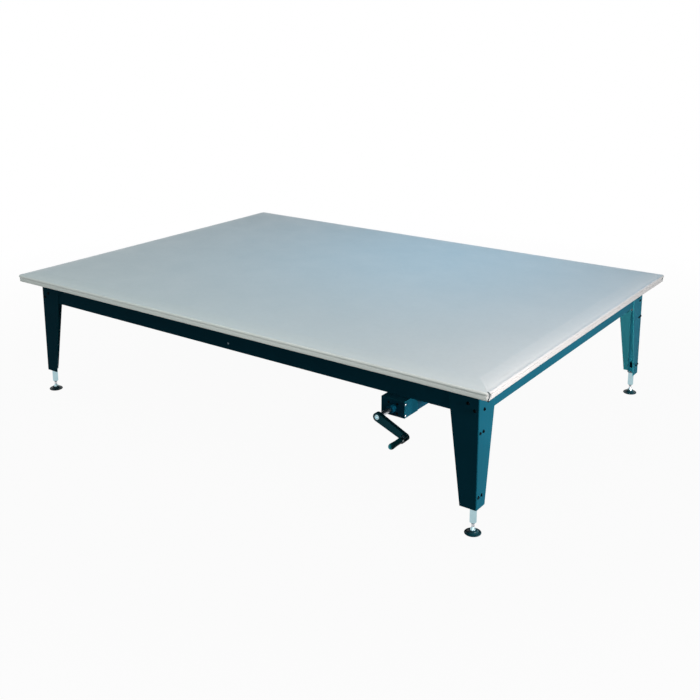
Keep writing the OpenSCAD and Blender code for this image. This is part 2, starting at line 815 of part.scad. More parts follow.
module pump_pistons() {
    start = body_y + chamber_gap + crosshead_t;
    at_pump() color("lightgray") at_bores()
        along_y([0, start, 0], pump_bore_d - 2 * run_clear, body_y + chamber_l + piston_guide - start);
}

collar_d = spindle_d * 1.6;
collar_l = chamber_gap / 2;
hub_shank_d = spindle_d * 0.45;
hub_hole_d = hub_shank_d + 2 * run_clear;
hub_shank_l = arm_t;

module pump_spindle() {
    at_pump() color("silver") difference() {
        union() {
            along_y([0, arm_front, 0], spindle_d, body_y + chamber_l + spindle_in - arm_front);
            along_y([0, body_y, 0], collar_d, collar_l);
        }
        along_y([0, arm_front - overrun, 0], hub_hole_d, overrun + hub_shank_l + fold_gap);
    }
}

// Hoses

module hose_fittings() {
    at_pump() color([0.72, 0.58, 0.28]) for (s = port_offset_shares) {
        along_y([s * port_gap, port_y - port_in, 0], fitting_stub_d, port_in + fitting_l / 2);
        along_y([s * port_gap, port_y, 0], fitting_d, fitting_l);
    }
    stub_y = cyl_in_y + (cyl_bore + cyl_d) / 4;
    body_start = cyl_in_y + cyl_d / 2;
    at_legs() color([0.72, 0.58, 0.28]) {
        along_y([cyl_in_x, stub_y, port_z], fitting_stub_d, hose_in - stub_y);
        along_y([cyl_in_x, body_start, port_z], fitting_d, hose_in + fitting_d / 2 - body_start);
        along_x([cyl_in_x, hose_in, port_z], fitting_nose_d, elbow_l);
    }
}

module pipe(a, b) {
    d = (b - a) / norm(b - a);
    translate(a) rotate([0, acos(d[2]), atan2(d[1], d[0])]) cylinder(d = hose_d, h = norm(b - a));
}

// A quarter bend that comes in along p and leaves along q
module quarter(at, p, q) {
    c = at + (q - p) * hose_bend_r;
    x = -q;
    z = cross(x, p);
    multmatrix([[x[0], p[0], z[0], c[0]], [x[1], p[1], z[1], c[1]], [x[2], p[2], z[2], c[2]]])
        rotate_extrude(angle = 90) translate([hose_bend_r, 0]) circle(d = hose_d);
}

module hose(route) {
    n = len(route);
    way = [for (i = [0:n - 2]) (route[i + 1] - route[i]) / norm(route[i + 1] - route[i])];
    at_frame() color([0.05, 0.05, 0.06]) {
        for (i = [0:n - 2])
            pipe(
                route[i] + way[i] * (i > 0 ? hose_bend_r : 0),
                route[i + 1] - way[i] * (i < n - 2 ? hose_bend_r : 0)
            );
        for (i = [1:n - 2]) quarter(route[i], way[i - 1], way[i]);
    }
}

// The routes start at the pump's rear plate and end at a cylinder's elbow
function hose_start(k) = [pump_x + port_offset_shares[k] * port_gap, port_y + fitting_l, pump_z];
function hose_tail(side, end) = [
    [side * (corner_x - drop_in), end * hose_y, hose_z],
    [side * (corner_x - drop_in), end * hose_y, port_z],
    [side * (corner_x - cyl_in_x - elbow_l), end * hose_y, port_z]
];
function front_route(k, side) = concat(
    [
        hose_start(k), [hose_start(k)[0], hose_turn_y, pump_z],
        [pump_x + side * hose_way_x, hose_turn_y, pump_z], [pump_x + side * hose_way_x, -hose_y, pump_z],
        [pump_x + side * hose_way_x, -hose_y, hose_z]
    ],
    hose_tail(side, -1)
);
function rear_route(k, side) = concat(
    [
        hose_start(k), [hose_start(k)[0], hose_turn_y, pump_z],
        [hose_start(k)[0], hose_turn_y, hose_z], [hose_start(k)[0], hose_y, hose_z]
    ],
    hose_tail(side, 1)
);

// A clip block over a hose that runs along X, with its back on a rail or cross member
module clip_block(w, l, h, hose_at) {
    difference() {
        translate([-w / 2, -l / 2, 0]) cube([w, l, h]);
        for (y = hose_at) along_x([-w, y, h - hose_d], hose_d + 2 * run_clear, 2 * w);
    }
}

module hose_clips() {
    low = cross_z - hose_z + hose_d;
    at_frame() color([0.05, 0.05, 0.06]) {
        for (p = [[0, 1], [-1, 1], [-1, -1]])
            translate([p[0] * pump_x, p[1] * hose_y, cross_z]) rotate([180, 0, 0])
                clip_block(clip_w, clip_w, low, [0]);
        for (s = cross_clip_shares)
            translate([pump_x, s * span_y, cross_z]) rotate([180, 0, 90])
                clip_block(clip_w, port_gap + clip_w, low, [-port_gap / 2, port_gap / 2]);
        for (x = front_clip_xs)
            translate([x, -span_y, hose_z]) rotate([-90, 0, 0]) rail_clip();
        for (x = rear_clip_xs)
            translate([x, span_y, hose_z]) rotate([90, 0, 0]) rail_clip();
    }
}

cross_clip_shares = [0, 0.4, 0.8];

module rail_clip() {
    difference() {
        clip_block(clip_w, clip_w, clip_depth, [0]);
        translate([0, 0, -overrun])
            cylinder(d = clip_screw_d + 2 * run_clear, h = overrun + clip_screw_in);
    }
}

module clip_screws() {
    at_frame() color("silver") {
        for (x = front_clip_xs)
            translate([x, -span_y - rail_w, hose_z]) rotate([-90, 0, 0])
                screw(clip_screw_d, rail_w + clip_screw_in, clip_screw_d * 2, clip_screw_d / 2);
        for (x = rear_clip_xs)
            translate([x, span_y + rail_w, hose_z]) rotate([90, 0, 0])
                screw(clip_screw_d, rail_w + clip_screw_in, clip_screw_d * 2, clip_screw_d / 2);
    }
}

// Crank: X runs along the arm, Y is the spindle's axis

module at_crank() {
    at_pump() rotate([0, crank_rest, 0]) children();
}

ear_r = grip_d * 0.38;
knuckle_r = ear_r * 0.85;

module arm_outline() {
    a = acos((arm_hub_w - arm_end_w) / 2 / crank_r);
    p = arm_hub_w / 2 * [cos(a), sin(a)];
    q = [crank_r, 0] + arm_end_w / 2 * [cos(a), sin(a)];
    circle(d = arm_hub_w);
    translate([crank_r, 0]) circle(d = arm_end_w);
    polygon([[p[0], -p[1]], [q[0], -q[1]], q, p]);
}

module crank_arm() {
    ear_t = (arm_end_w - link_w) / 2 - fold_gap;
    at_crank() color([0.05, 0.06, 0.07]) difference() {
        union() {
            translate([0, arm_back, 0]) rotate([90, 0, 0]) linear_extrude(arm_t) arm_outline();
            for (s = [-1, 1])
                translate([crank_r, 0, s * (arm_end_w - ear_t) / 2 - ear_t / 2]) linear_extrude(ear_t) {
                    translate([0, fold_y]) circle(r = ear_r);
                    translate([-ear_r, fold_y]) square([2 * ear_r, arm_back - arm_t / 2 - fold_y]);
                }
        }
        along_y([0, arm_front - overrun, 0], spindle_hole_d, arm_t + 2 * overrun);
        translate([crank_r, fold_y, -arm_end_w]) cylinder(d = fold_hole_d, h = 2 * arm_end_w);
    }
}

module hub_screw() {
    at_crank() color("white") translate([0, arm_front, 0]) rotate([-90, 0, 0])
        screw(hub_shank_d, hub_shank_l, hub_screw_d, hub_screw_h);
}

pin_head_d = fold_pin_d * 1.6;
pin_head_h = fold_pin_d * 0.3;

module fold_pin() {
    at_crank() color("silver") translate([crank_r, fold_y, 0]) {
        translate([0, 0, -arm_end_w / 2]) cylinder(d = fold_pin_d, h = arm_end_w);
        for (s = [0, 180])
            rotate([s, 0, 0]) translate([0, 0, arm_end_w / 2]) cylinder(d = pin_head_d, h = pin_head_h);
    }
}

axle_in_l = grip_l - grip_d / 3;
flange_l = link_l - ear_r - fold_gap;

module grip_link() {
    at_crank() color("dimgray") difference() {
        union() {
            translate([crank_r, fold_y, -link_w / 2]) cylinder(r = knuckle_r, h = link_w);
            translate([crank_r - knuckle_r, grip_y, -link_w / 2]) cube([2 * knuckle_r, link_l, link_w]);
            along_y([crank_r, grip_y, 0], 2 * ear_r, flange_l);
            along_y([crank_r, grip_y - axle_in_l, 0], axle_d, axle_in_l + flange_l / 2);
        }
        translate([crank_r, fold_y, -arm_end_w]) cylinder(d = fold_hole_d, h = 2 * arm_end_w);
    }
}

// The grip's outline: radius as a share of its own and place as a share of its length
grip_shares = [[0.84, 0], [0.93, 0.04], [0.9, 0.16], [0.88, 0.36], [0.94, 0.6], [1, 0.78]];
grip_dome_share = 0.22;
dome_steps = 6;

module grip() {
    r = grip_d / 2;
    dome = grip_l * grip_dome_share;
    at_crank() color([0.04, 0.05, 0.06]) translate([crank_r, grip_y - soft_gap, 0]) rotate([90, 0, 0])
        rotate_extrude($fn = round_fn) difference() {
            polygon(concat(
                [[0, 0]],
                [for (s = grip_shares) [s[0] * r, s[1] * grip_l]],
                [for (i = [1:dome_steps]) let (a = 90 * i / dome_steps)
                    [i == dome_steps ? 0 : r * cos(a), grip_l - soft_gap - dome + dome * sin(a)]]
            ));
            translate([0, -overrun]) square([axle_d / 2 + run_clear, overrun + axle_in_l + run_clear]);
        }
}

mat_cover();
mat_foam();
deck_panel(-1);  // deck_panel_left
deck_panel(1);  // deck_panel_right
deck_clips();
deck_screws();
long_rail(-1);  // rail_front
long_rail(1);  // rail_rear
side_rail(-1);  // rail_left
side_rail(1);  // rail_right
cross_members();
corner_gussets();
leg(-1, -1);  // leg_front_left
leg(1, -1);  // leg_front_right
leg(-1, 1);  // leg_rear_left
leg(1, 1);  // leg_rear_right
leg_bolts();
cylinder_tube(-1, -1);  // cylinder_front_left
cylinder_tube(1, -1);  // cylinder_front_right
cylinder_tube(-1, 1);  // cylinder_rear_left
cylinder_tube(1, 1);  // cylinder_rear_right
cylinder_glands();
cylinder_blocks();
block_screws();
piston_rod(-1, -1);  // rod_front_left
piston_rod(1, -1);  // rod_front_right
piston_rod(-1, 1);  // rod_rear_left
piston_rod(1, 1);  // rod_rear_right
levelling_stud(-1, -1);  // stud_front_left
levelling_stud(1, -1);  // stud_front_right
levelling_stud(-1, 1);  // stud_rear_left
levelling_stud(1, 1);  // stud_rear_right
swivel(-1, -1);  // swivel_front_left
swivel(1, -1);  // swivel_front_right
swivel(-1, 1);  // swivel_rear_left
swivel(1, 1);  // swivel_rear_right
foot_pad(-1, -1);  // pad_front_left
foot_pad(1, -1);  // pad_front_right
foot_pad(-1, 1);  // pad_rear_left
foot_pad(1, 1);  // pad_rear_right
pump_body();
pump_front_plate();
pump_rear_plate();
pump_bracket();
pump_screws();
pump_crosshead();
pump_pistons();
pump_spindle();
hose_fittings();
hose(front_route(3, -1));  // hose_front_left
hose(front_route(0, 1));  // hose_front_right
hose(rear_route(2, -1));  // hose_rear_left
hose(rear_route(1, 1));  // hose_rear_right
hose_clips();
clip_screws();
crank_arm();
hub_screw();
fold_pin();
grip_link();
grip();
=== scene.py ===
import json
import math

import bmesh
import bpy
import numpy as np
from mathutils import Matrix, Vector


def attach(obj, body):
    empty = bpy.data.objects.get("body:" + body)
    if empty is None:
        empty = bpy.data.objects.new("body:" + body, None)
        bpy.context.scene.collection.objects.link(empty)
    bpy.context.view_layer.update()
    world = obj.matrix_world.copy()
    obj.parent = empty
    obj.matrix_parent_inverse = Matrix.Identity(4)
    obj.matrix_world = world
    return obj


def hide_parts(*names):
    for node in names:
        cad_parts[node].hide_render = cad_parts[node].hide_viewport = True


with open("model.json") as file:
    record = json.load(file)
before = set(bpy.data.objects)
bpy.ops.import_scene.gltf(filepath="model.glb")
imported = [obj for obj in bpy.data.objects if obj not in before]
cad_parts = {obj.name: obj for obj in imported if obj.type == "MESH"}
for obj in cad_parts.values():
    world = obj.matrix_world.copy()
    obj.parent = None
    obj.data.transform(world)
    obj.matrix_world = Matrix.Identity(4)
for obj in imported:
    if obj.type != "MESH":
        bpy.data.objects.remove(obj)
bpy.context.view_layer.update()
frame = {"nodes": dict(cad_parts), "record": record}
nodes = frame["nodes"]
print("frame loaded:", len(nodes), "nodes")

# Measures that several pieces share, in metres, from the part's own source
layout = {
    "shift": 0.0659,  # the frame's middle in Y, since the crank stands out at the front
    "corner": (1.004, 0.696),  # outer corner of the legs, from the frame's middle
    "deckZ": 0.472,
    "railZ": 0.388,
    "cylinderIn": (0.020, 0.0195),  # cylinder axis from the leg's two faces
}
corners = {
    "front_left": (-1, -1),
    "front_right": (1, -1),
    "rear_left": (-1, 1),
    "rear_right": (1, 1),
}


cameraSet = {
    "place": (2.2304, -2.9960, 1.5543),
    "turn": (77.371, 0.0, 35.537),  # degrees
    "lens": 49.852,
    "shiftDown": 0.1786,
}


def makeCamera(cfg):
    data = bpy.data.cameras.new("camera")
    data.lens = cfg["lens"]
    data.sensor_width = 36
    data.shift_y = -cfg["shiftDown"]
    data.clip_end = 60
    cam = bpy.data.objects.new("camera", data)
    cam.location = cfg["place"]
    cam.rotation_euler = [math.radians(a) for a in cfg["turn"]]
    bpy.context.scene.collection.objects.link(cam)
    bpy.context.scene.camera = cam


makeCamera(cameraSet)
bpy.context.scene.view_settings.view_transform = "Standard"


def linkMesh(name, verts, faces, smooth=True, sharp=None):
    mesh = bpy.data.meshes.new(name)
    points = [tuple(float(c) for c in v) for v in verts]
    mesh.from_pydata(points, [], [tuple(int(i) for i in f) for f in faces])
    mesh.validate()
    mesh.update()
    if smooth:
        mesh.polygons.foreach_set("use_smooth", [True] * len(mesh.polygons))
    if sharp:
        mesh.set_sharp_from_angle(angle=math.radians(sharp))
    piece = bpy.data.objects.new(name, mesh)
    bpy.context.scene.collection.objects.link(piece)
    return piece


class Shell:
    # Collects rings and faces for one mesh
    def __init__(self):
        self.verts = []
        self.faces = []

    def addRing(self, ring):
        start = len(self.verts)
        self.verts.extend([tuple(p) for p in ring])
        return start, len(ring)

    def join(self, a, b):
        n = a[1]
        for i in range(n):
            j = (i + 1) % n
            self.faces.append((a[0] + i, a[0] + j, b[0] + j, b[0] + i))

    def cap(self, a, flip=False):
        loop = list(range(a[0], a[0] + a[1]))
        self.faces.append(tuple(reversed(loop)) if flip else tuple(loop))

    def loft(self, rings, capFirst=True, capLast=True, matrix=None):
        if matrix is not None:
            rings = [[tuple(matrix @ Vector(p)) for p in r] for r in rings]
        made = [self.addRing(r) for r in rings]
        for a, b in zip(made, made[1:]):
            self.join(a, b)
        if capFirst:
            self.cap(made[0], flip=True)
        if capLast:
            self.cap(made[-1])
        return made


def roundRing(radius, z, steps):
    turns = [2 * math.pi * i / steps for i in range(steps)]
    return [(radius * math.cos(turn), radius * math.sin(turn), z) for turn in turns]


def hexRing(acrossFlats, z, steps):
    ring = []
    for i in range(steps):
        turn = 2 * math.pi * i / steps
        lean = (turn % (math.pi / 3)) - math.pi / 6
        r = acrossFlats / 2 / math.cos(lean)
        ring.append((r * math.cos(turn), r * math.sin(turn), z))
    return ring


def axisMatrix(origin, direction):
    # Turns +Z into direction and puts the origin there
    turn = Vector(direction).to_track_quat("Z", "Y").to_matrix().to_4x4()
    return Matrix.Translation(Vector(origin)) @ turn


def islandsOf(name):
    # The separate solids of a CAD node, each as an array of its points
    bm = bmesh.new()
    bm.from_mesh(nodes[name].data)
    bmesh.ops.remove_doubles(bm, verts=bm.verts, dist=1e-6)
    seen = set()
    found = []
    for first in bm.verts:
        if first in seen:
            continue
        pile = [first]
        seen.add(first)
        points = []
        while pile:
            v = pile.pop()
            points.append(tuple(v.co))
            for e in v.link_edges:
                w = e.other_vert(v)
                if w not in seen:
                    seen.add(w)
                    pile.append(w)
        found.append(np.array(points))
    bm.free()
    return found


def finishPiece(piece, body, slot, standsFor=(), look=None):
    # The look is the slot's own unless another one is named
    piece.data.materials.clear()
    piece.data.materials.append(finishes[look or slot])
    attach(piece, body)
    if standsFor:
        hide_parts(*standsFor)


edgeSet = {"merge": 1e-5, "angle": 35}  # degrees between faces from which an edge is rounded


def roundEdges(piece, width, segments=2):
    join = piece.modifiers.new("join", "WELD")
    join.merge_threshold = edgeSet["merge"]
    bevel = piece.modifiers.new("edges", "BEVEL")
    bevel.width = width
    bevel.segments = segments
    bevel.limit_method = "ANGLE"
    bevel.angle_limit = math.radians(edgeSet["angle"])


def startMaterial(name, settings):
    material = bpy.data.materials.new(name)
    material.use_nodes = True
    shader = material.node_tree.nodes["Principled BSDF"]
    for socket, value in settings.items():
        shader.inputs[socket].default_value = value
    return material, material.node_tree, shader


def addNode(tree, kind, inputs, **settings):
    node = tree.nodes.new("ShaderNode" + kind)
    for key, value in settings.items():
        setattr(node, key, value)
    for key, value in inputs.items():
        if isinstance(value, bpy.types.NodeSocket):
            tree.links.new(value, node.inputs[key])
        else:
            node.inputs[key].default_value = value
    return node


def placeOf(tree, stretch=(1, 1, 1)):
    where = addNode(tree, "TexCoord", {})
    if stretch == (1, 1, 1):
        return where.outputs["Object"]
    return addNode(tree, "Mapping", {"Vector": where.outputs["Object"], "Scale": stretch}).outputs["Vector"]


def noise(tree, where, scale, detail=3.0, rough=0.5, distortion=0.0):
    inputs = {"Vector": where, "Scale": scale, "Detail": detail, "Roughness": rough}
    inputs["Distortion"] = distortion
    return addNode(tree, "TexNoise", inputs).outputs["Fac"]


def spread(tree, value, low, high, toLow=0.0, toHigh=1.0):
    inputs = {"Value": value, "From Min": low, "From Max": high, "To Min": toLow, "To Max": toHigh}
    return addNode(tree, "MapRange", inputs).outputs["Result"]


def calc(tree, operation, *values):
    made = addNode(tree, "Math", dict(enumerate(values)), operation=operation)
    return made.outputs[0]


def blendColour(tree, share, a, b):
    made = tree.nodes.new("ShaderNodeMix")
    made.data_type = "RGBA"
    made.clamp_factor = True
    for socket, value in ((made.inputs[0], share), (made.inputs[6], a), (made.inputs[7], b)):
        if isinstance(value, bpy.types.NodeSocket):
            tree.links.new(value, socket)
        else:
            socket.default_value = value
    return made.outputs[2]


def bumpFrom(tree, shader, height, distance, strength=1.0, under=None):
    inputs = {"Height": height, "Strength": strength, "Distance": distance}
    if under is not None:
        inputs["Normal"] = under
    made = addNode(tree, "Bump", inputs)
    tree.links.new(made.outputs["Normal"], shader.inputs["Normal"])


def feed(tree, shader, base, rough):
    tree.links.new(base, shader.inputs["Base Color"])
    tree.links.new(rough, shader.inputs["Roughness"])


def srgb(r, g, b):
    # The standard curve from screen values to linear light
    parts = [c / 255 for c in (r, g, b)]
    return tuple(c / 12.92 if c <= 10 / 255 else ((c + 0.055) / 1.055) ** 2.4 for c in parts) + (1.0,)


def dim(colour, share):
    return tuple(c * share for c in colour[:3]) + (1.0,)


# rim: colour of a painted highlight along the edges; worn: colour of the rubbed wear on them
paintSet = {
    "colour": srgb(13, 71, 87), "rim": srgb(20, 92, 102), "worn": srgb(48, 100, 114), "rough": 0.46,
    "peel": 420, "specular": 0.012, "rimLightReach": 0.008, "rimLightShare": 0.5, "wornReach": 0.0012,
    "corner": 0.0016,  # radius to which the shader rounds the edges
    "peelDepth": 0.00015,
}


def nearEdge(tree, reach, start, full, share):
    # Rises from 0 to the share towards the edges of the shape
    rounded = addNode(tree, "Bevel", {"Radius": reach}, samples=6)
    shape = addNode(tree, "NewGeometry", {})
    ways = {0: rounded.outputs["Normal"], 1: shape.outputs["Normal"]}
    turn = addNode(tree, "VectorMath", ways, operation="DOT_PRODUCT")
    return spread(tree, turn.outputs["Value"], start, full, 0.0, share)


def makePaint(cfg):
    # Powder coat: orange peel, faint clouding, a painted highlight rim along the edges and lighter rubbed
    # edges
    material, tree, shader = startMaterial("framePaint", {"Specular IOR Level": cfg["specular"]})
    where = placeOf(tree)
    cloud = spread(tree, noise(tree, where, 7, 4), 0.3, 0.7)
    base = blendColour(tree, cloud, dim(cfg["colour"], 0.93), dim(cfg["colour"], 1.07))
    # Painted highlight: a lighter teal rim along every edge, within the rim's reach
    rim = nearEdge(tree, cfg["rimLightReach"], 0.97, 0.8, cfg["rimLightShare"])
    base = blendColour(tree, rim, base, cfg["rim"])
    edge = nearEdge(tree, cfg["wornReach"], 0.995, 0.9, 1.0)
    patchy = spread(tree, noise(tree, where, 55, 5, 0.65), 0.45, 0.7, 0.0, 0.55)
    rubbed = calc(tree, "MULTIPLY", edge, patchy)
    base = blendColour(tree, rubbed, base, cfg["worn"])
    fine = noise(tree, where, cfg["peel"], 2)
    feed(tree, shader, base, spread(tree, fine, 0.3, 0.7, cfg["rough"] - 0.05, cfg["rough"] + 0.07))
    soft = addNode(tree, "Bevel", {"Radius": cfg["corner"]}, samples=6)
    bumpFrom(tree, shader, fine, cfg["peelDepth"], 0.5, under=soft.outputs["Normal"])
    return material


tuckShadeName = "tuck"  # the mesh attribute that holds the painted shade along the folds of the cover
vinylSet = {
    "colour": srgb(176, 190, 196), "rough": 0.34, "grain": 900, "grainDepth": 0.00012,
    "specular": 0.16, "edgeSpecular": 0.7,  # on the top and on the sides
    # painted shade: the colour darkens in creases within the reach, and a dark line runs along the corner
    # folds
    "creaseShadeReach": 0.006, "creaseShadeTone": 0.45, "tuckShade": srgb(18, 52, 60),
}


def makeVinyl(cfg):
    # Upholstery vinyl: fine pressed grain under a satin skin, with painted shade in its creases and along
    # the corner folds
    material, tree, shader = startMaterial("vinylSkin", {})
    where = placeOf(tree)
    shape = addNode(tree, "NewGeometry", {})
    facing = addNode(tree, "SeparateXYZ", {"Vector": shape.outputs["Normal"]})
    sheen = spread(tree, facing.outputs["Z"], 0.93, 0.99, cfg["edgeSpecular"], cfg["specular"])
    tree.links.new(sheen, shader.inputs["Specular IOR Level"])
    cloud = spread(tree, noise(tree, where, 1.7, 3), 0.3, 0.7)
    base = blendColour(tree, cloud, dim(cfg["colour"], 0.975), dim(cfg["colour"], 1.02))
    mottle = spread(tree, noise(tree, where, 60, 5, 0.6), 0.35, 0.65, 0.0, 0.35)
    base = blendColour(tree, mottle, base, dim(cfg["colour"], 0.93))
    # Painted shade: darker where the surface is closed in, as in creases
    reach = {"Distance": cfg["creaseShadeReach"]}
    closed = addNode(tree, "AmbientOcclusion", reach, samples=8, only_local=True)
    paintedCreaseShade = spread(tree, closed.outputs["AO"], 0.6, 0.25)
    base = blendColour(tree, paintedCreaseShade, base, dim(cfg["colour"], cfg["creaseShadeTone"]))
    # Painted shade: a dark line along the corner folds
    paintedFoldShade = addNode(tree, "Attribute", {}, attribute_name=tuckShadeName).outputs["Fac"]
    base = blendColour(tree, paintedFoldShade, base, cfg["tuckShade"])
    cells = {"Vector": where, "Scale": cfg["grain"], "Randomness": 0.9}
    pebble = addNode(tree, "TexVoronoi", cells, feature="SMOOTH_F1")
    fine = noise(tree, where, cfg["grain"] * 2.2, 2)
    height = calc(tree, "ADD", pebble.outputs["Distance"], fine)
    rub = noise(tree, where, 9, 4, 0.6)
    feed(tree, shader, base, spread(tree, rub, 0.3, 0.7, cfg["rough"] - 0.05, cfg["rough"] + 0.06))
    bumpFrom(tree, shader, height, cfg["grainDepth"], 0.45)
    return material


metalSet = {"hazeScale": 90, "lineScale": 700, "lineDepth": 0.00004}


def makeMetal(name, colour, rough, scratch, dark=0.85):
    # Plated or bare metal: fine scratches, a little haze and darker patches
    material, tree, shader = startMaterial(name, {"Metallic": 1.0})
    where = placeOf(tree)
    haze = noise(tree, where, metalSet["hazeScale"], 4, 0.6)
    base = blendColour(tree, spread(tree, haze, 0.35, 0.7), colour, dim(colour, dark))
    lines = noise(tree, placeOf(tree, (1, 1, scratch)), metalSet["lineScale"], 3, 0.6)
    feed(tree, shader, base, spread(tree, lines, 0.3, 0.75, rough * 0.8, rough * 1.35))
    bumpFrom(tree, shader, lines, metalSet["lineDepth"], 0.6)
    return material


plasticSet = {"cloudScale": 22, "lift": 1.25}  # lift: brightness of the lighter clouds


def makePlastic(name, colour, rough, grain, specular, depth=0.0001):
    # Moulded, enamelled or anodised surfaces: clouded colour with a fine blasted grain
    material, tree, shader = startMaterial(name, {"Specular IOR Level": specular})
    where = placeOf(tree)
    cloud = spread(tree, noise(tree, where, plasticSet["cloudScale"], 4), 0.35, 0.7)
    base = blendColour(tree, cloud, colour, dim(colour, plasticSet["lift"]))
    fine = noise(tree, where, grain, 3, 0.6)
    feed(tree, shader, base, spread(tree, fine, 0.3, 0.7, rough - 0.06, rough + 0.08))
    bumpFrom(tree, shader, fine, depth, 0.5)
    return material


woodSet = {"pale": srgb(205, 172, 124), "deep": srgb(150, 106, 62), "ply": 0.0043, "poreDepth": 0.0002}


def makePlywood(cfg):
    # Rotary-cut face veneer along X with plies on the cut edges
    material, tree, shader = startMaterial("plywoodDeck", {"Specular IOR Level": 0.2})
    along = placeOf(tree, (0.12, 1.4, 1))
    rings = noise(tree, along, 26, 6, 0.62, 0.5)
    pale, deep = cfg["pale"], cfg["deep"]
    face = blendColour(tree, spread(tree, rings, 0.35, 0.72), pale, deep)
    pores = noise(tree, placeOf(tree, (0.03, 1, 1)), 900, 2)
    face = blendColour(tree, spread(tree, pores, 0.58, 0.75, 0.0, 0.5), face, dim(deep, 0.6))
    where = placeOf(tree)
    split = addNode(tree, "SeparateXYZ", {"Vector": where})
    plies = calc(tree, "MULTIPLY", split.outputs["Z"], 2 * math.pi / cfg["ply"])
    layer = spread(tree, calc(tree, "SINE", plies), -0.2, 0.2)
    edge = blendColour(tree, layer, dim(pale, 0.8), dim(deep, 0.9))
    shape = addNode(tree, "NewGeometry", {})
    up = addNode(tree, "SeparateXYZ", {"Vector": shape.outputs["Normal"]})
    flat = spread(tree, calc(tree, "ABSOLUTE", up.outputs["Z"]), 0.4, 0.6)
    base = blendColour(tree, flat, edge, face)
    feed(tree, shader, base, spread(tree, rings, 0.3, 0.7, 0.55, 0.72))
    bumpFrom(tree, shader, pores, cfg["poreDepth"], 0.4)
    return material


foamSet = {"pale": srgb(226, 214, 168), "deep": srgb(196, 182, 132), "cells": 700, "depth": 0.0004}


def makeFoam(cfg):
    # Open foam: pale cells with deeper middles
    material, tree, shader = startMaterial("padFoam", {"Specular IOR Level": 0.1, "Roughness": 0.95})
    where = placeOf(tree)
    cells = addNode(tree, "TexVoronoi", {"Vector": where, "Scale": cfg["cells"]}, feature="F1")
    tone = blendColour(tree, cells.outputs["Distance"], cfg["pale"], cfg["deep"])
    tree.links.new(tone, shader.inputs["Base Color"])
    bumpFrom(tree, shader, cells.outputs["Distance"], cfg["depth"], 0.8)
    return material


finishes = {
    "vinyl": makeVinyl(vinylSet),
    "foam": makeFoam(foamSet),
    "plywood": makePlywood(woodSet),
    "frame_paint": makePaint(paintSet),
    "bolt_steel": makePlastic("boltOxide", srgb(2, 7, 12), 0.16, 1600, 0.02, 0.00003),
    "bright_steel": makeMetal("brightSteel", srgb(196, 200, 204), 0.24, 1.0),
    "chrome": makeMetal("chromePlate", srgb(172, 202, 209), 0.1, 0.08, dark=0.9),
    "pad_plastic": makePlastic("padPlastic", srgb(6, 46, 54), 0.3, 1500, 0.12),
    "pump_black": makePlastic("pumpAnodised", srgb(5, 58, 76), 0.36, 1800, 0.02),
    "pump_steel": makeMetal("pumpSteel", srgb(96, 112, 118), 0.3, 1.0),
    "brass": makeMetal("fittingNickel", srgb(88, 104, 110), 0.26, 1.0),
    "hose_black": makePlastic("hoseRubber", srgb(18, 22, 26), 0.5, 900, 0.15, 0.0002),
    "clip_plastic": makePlastic("clipNylon", srgb(20, 24, 28), 0.42, 1200, 0.15),
    "crank_black": makePlastic("crankEnamel", srgb(4, 46, 54), 0.28, 500, 0.03),
    "grip_plastic": makePlastic("gripPlastic", srgb(5, 62, 68), 0.26, 1400, 0.04),
}
print("finishes:", len(finishes))

# Every CAD node gets the finish of its slot
slotOf = {row["node"]: row["material_slot"] for row in frame["record"]["subparts"]}
for name, node in nodes.items():
    node.data.materials.clear()
    node.data.materials.append(finishes[slotOf[name]])


matSet = {
    "size": (2.134, 1.524),
    "cornerRadius": 0.0115,
    "innerRadius": 0.005,
    "drawIn": 0.003,
    "sideSteps": (124, 88),  # segments along the long and the short sides
    "cornerSteps": 32,
    "cornerCell": 0.002,  # spacing of the corner's points once the rings are square
    "topInset": 0.062,  # where the rings end and the grid begins
    "edgeInset": 0.004,  # the rolled edge, where the rings begin to turn square
    "edgeSpare": 0.012,  # left out of the way on which they turn
    "beadTop": 0.02,  # below this height the sides draw in fully
    "hemInset": 0.02,  # the hem further in than this stays straight
    # inset and height above the deck's underside: hem, side band, rolled bead, top
    "outline": [
        (0.0420, -0.0015), (0.0330, -0.0015), (0.0240, -0.0015), (0.0150, -0.0015), (0.0092, -0.0014),
        (0.0064, -0.0010), (0.0046, 0.0002), (0.0038, 0.0012), (0.0034, 0.0024), (0.0032, 0.0038),
        (0.0031, 0.0053), (0.0030, 0.0068), (0.0030, 0.0083), (0.0030, 0.0098), (0.0030, 0.0113),
        (0.0032, 0.0128), (0.0041, 0.0142), (0.0037, 0.0153), (0.0018, 0.0166),
        (0.0006, 0.0183), (0.0000, 0.0203), (0.0002, 0.0224), (0.0011, 0.0242), (0.0026, 0.0257),
        (0.0045, 0.0266), (0.0063, 0.0268), (0.0088, 0.0267), (0.0118, 0.0270), (0.0160, 0.0279),
        (0.0220, 0.0291), (0.0300, 0.0303), (0.0400, 0.0315), (0.0500, 0.0325), (0.0620, 0.0334),
    ],
    "crown": [(0.062, 0.0334), (0.128, 0.0352), (0.220, 0.0364), (0.320, 0.0370), (0.800, 0.0372)],
    "swell": {"frames": 14, "pressure": 3.0, "cap": 0.003, "even": 24, "heldBelow": 0.0015},
    "cloth": {
        "quality": 5, "mass": 0.4, "tension_stiffness": 25, "compression_stiffness": 25,
        "shear_stiffness": 12, "bending_stiffness": 2.0,
    },
    "skin": 0.0015,
}


def smoothStep(t):
    t = min(1.0, max(0.0, t))
    return t * t * (3 - 2 * t)


def sideBow(t):
    # 1 over most of a side, falling to 0 at its two ends
    return 1 - (2 * t - 1) ** 4


def overEdge(cfg, inset):
    # From 0 at the rolled edge to 1 where the grid is near
    return (inset - cfg["edgeInset"]) / (cfg["topInset"] - cfg["edgeSpare"])


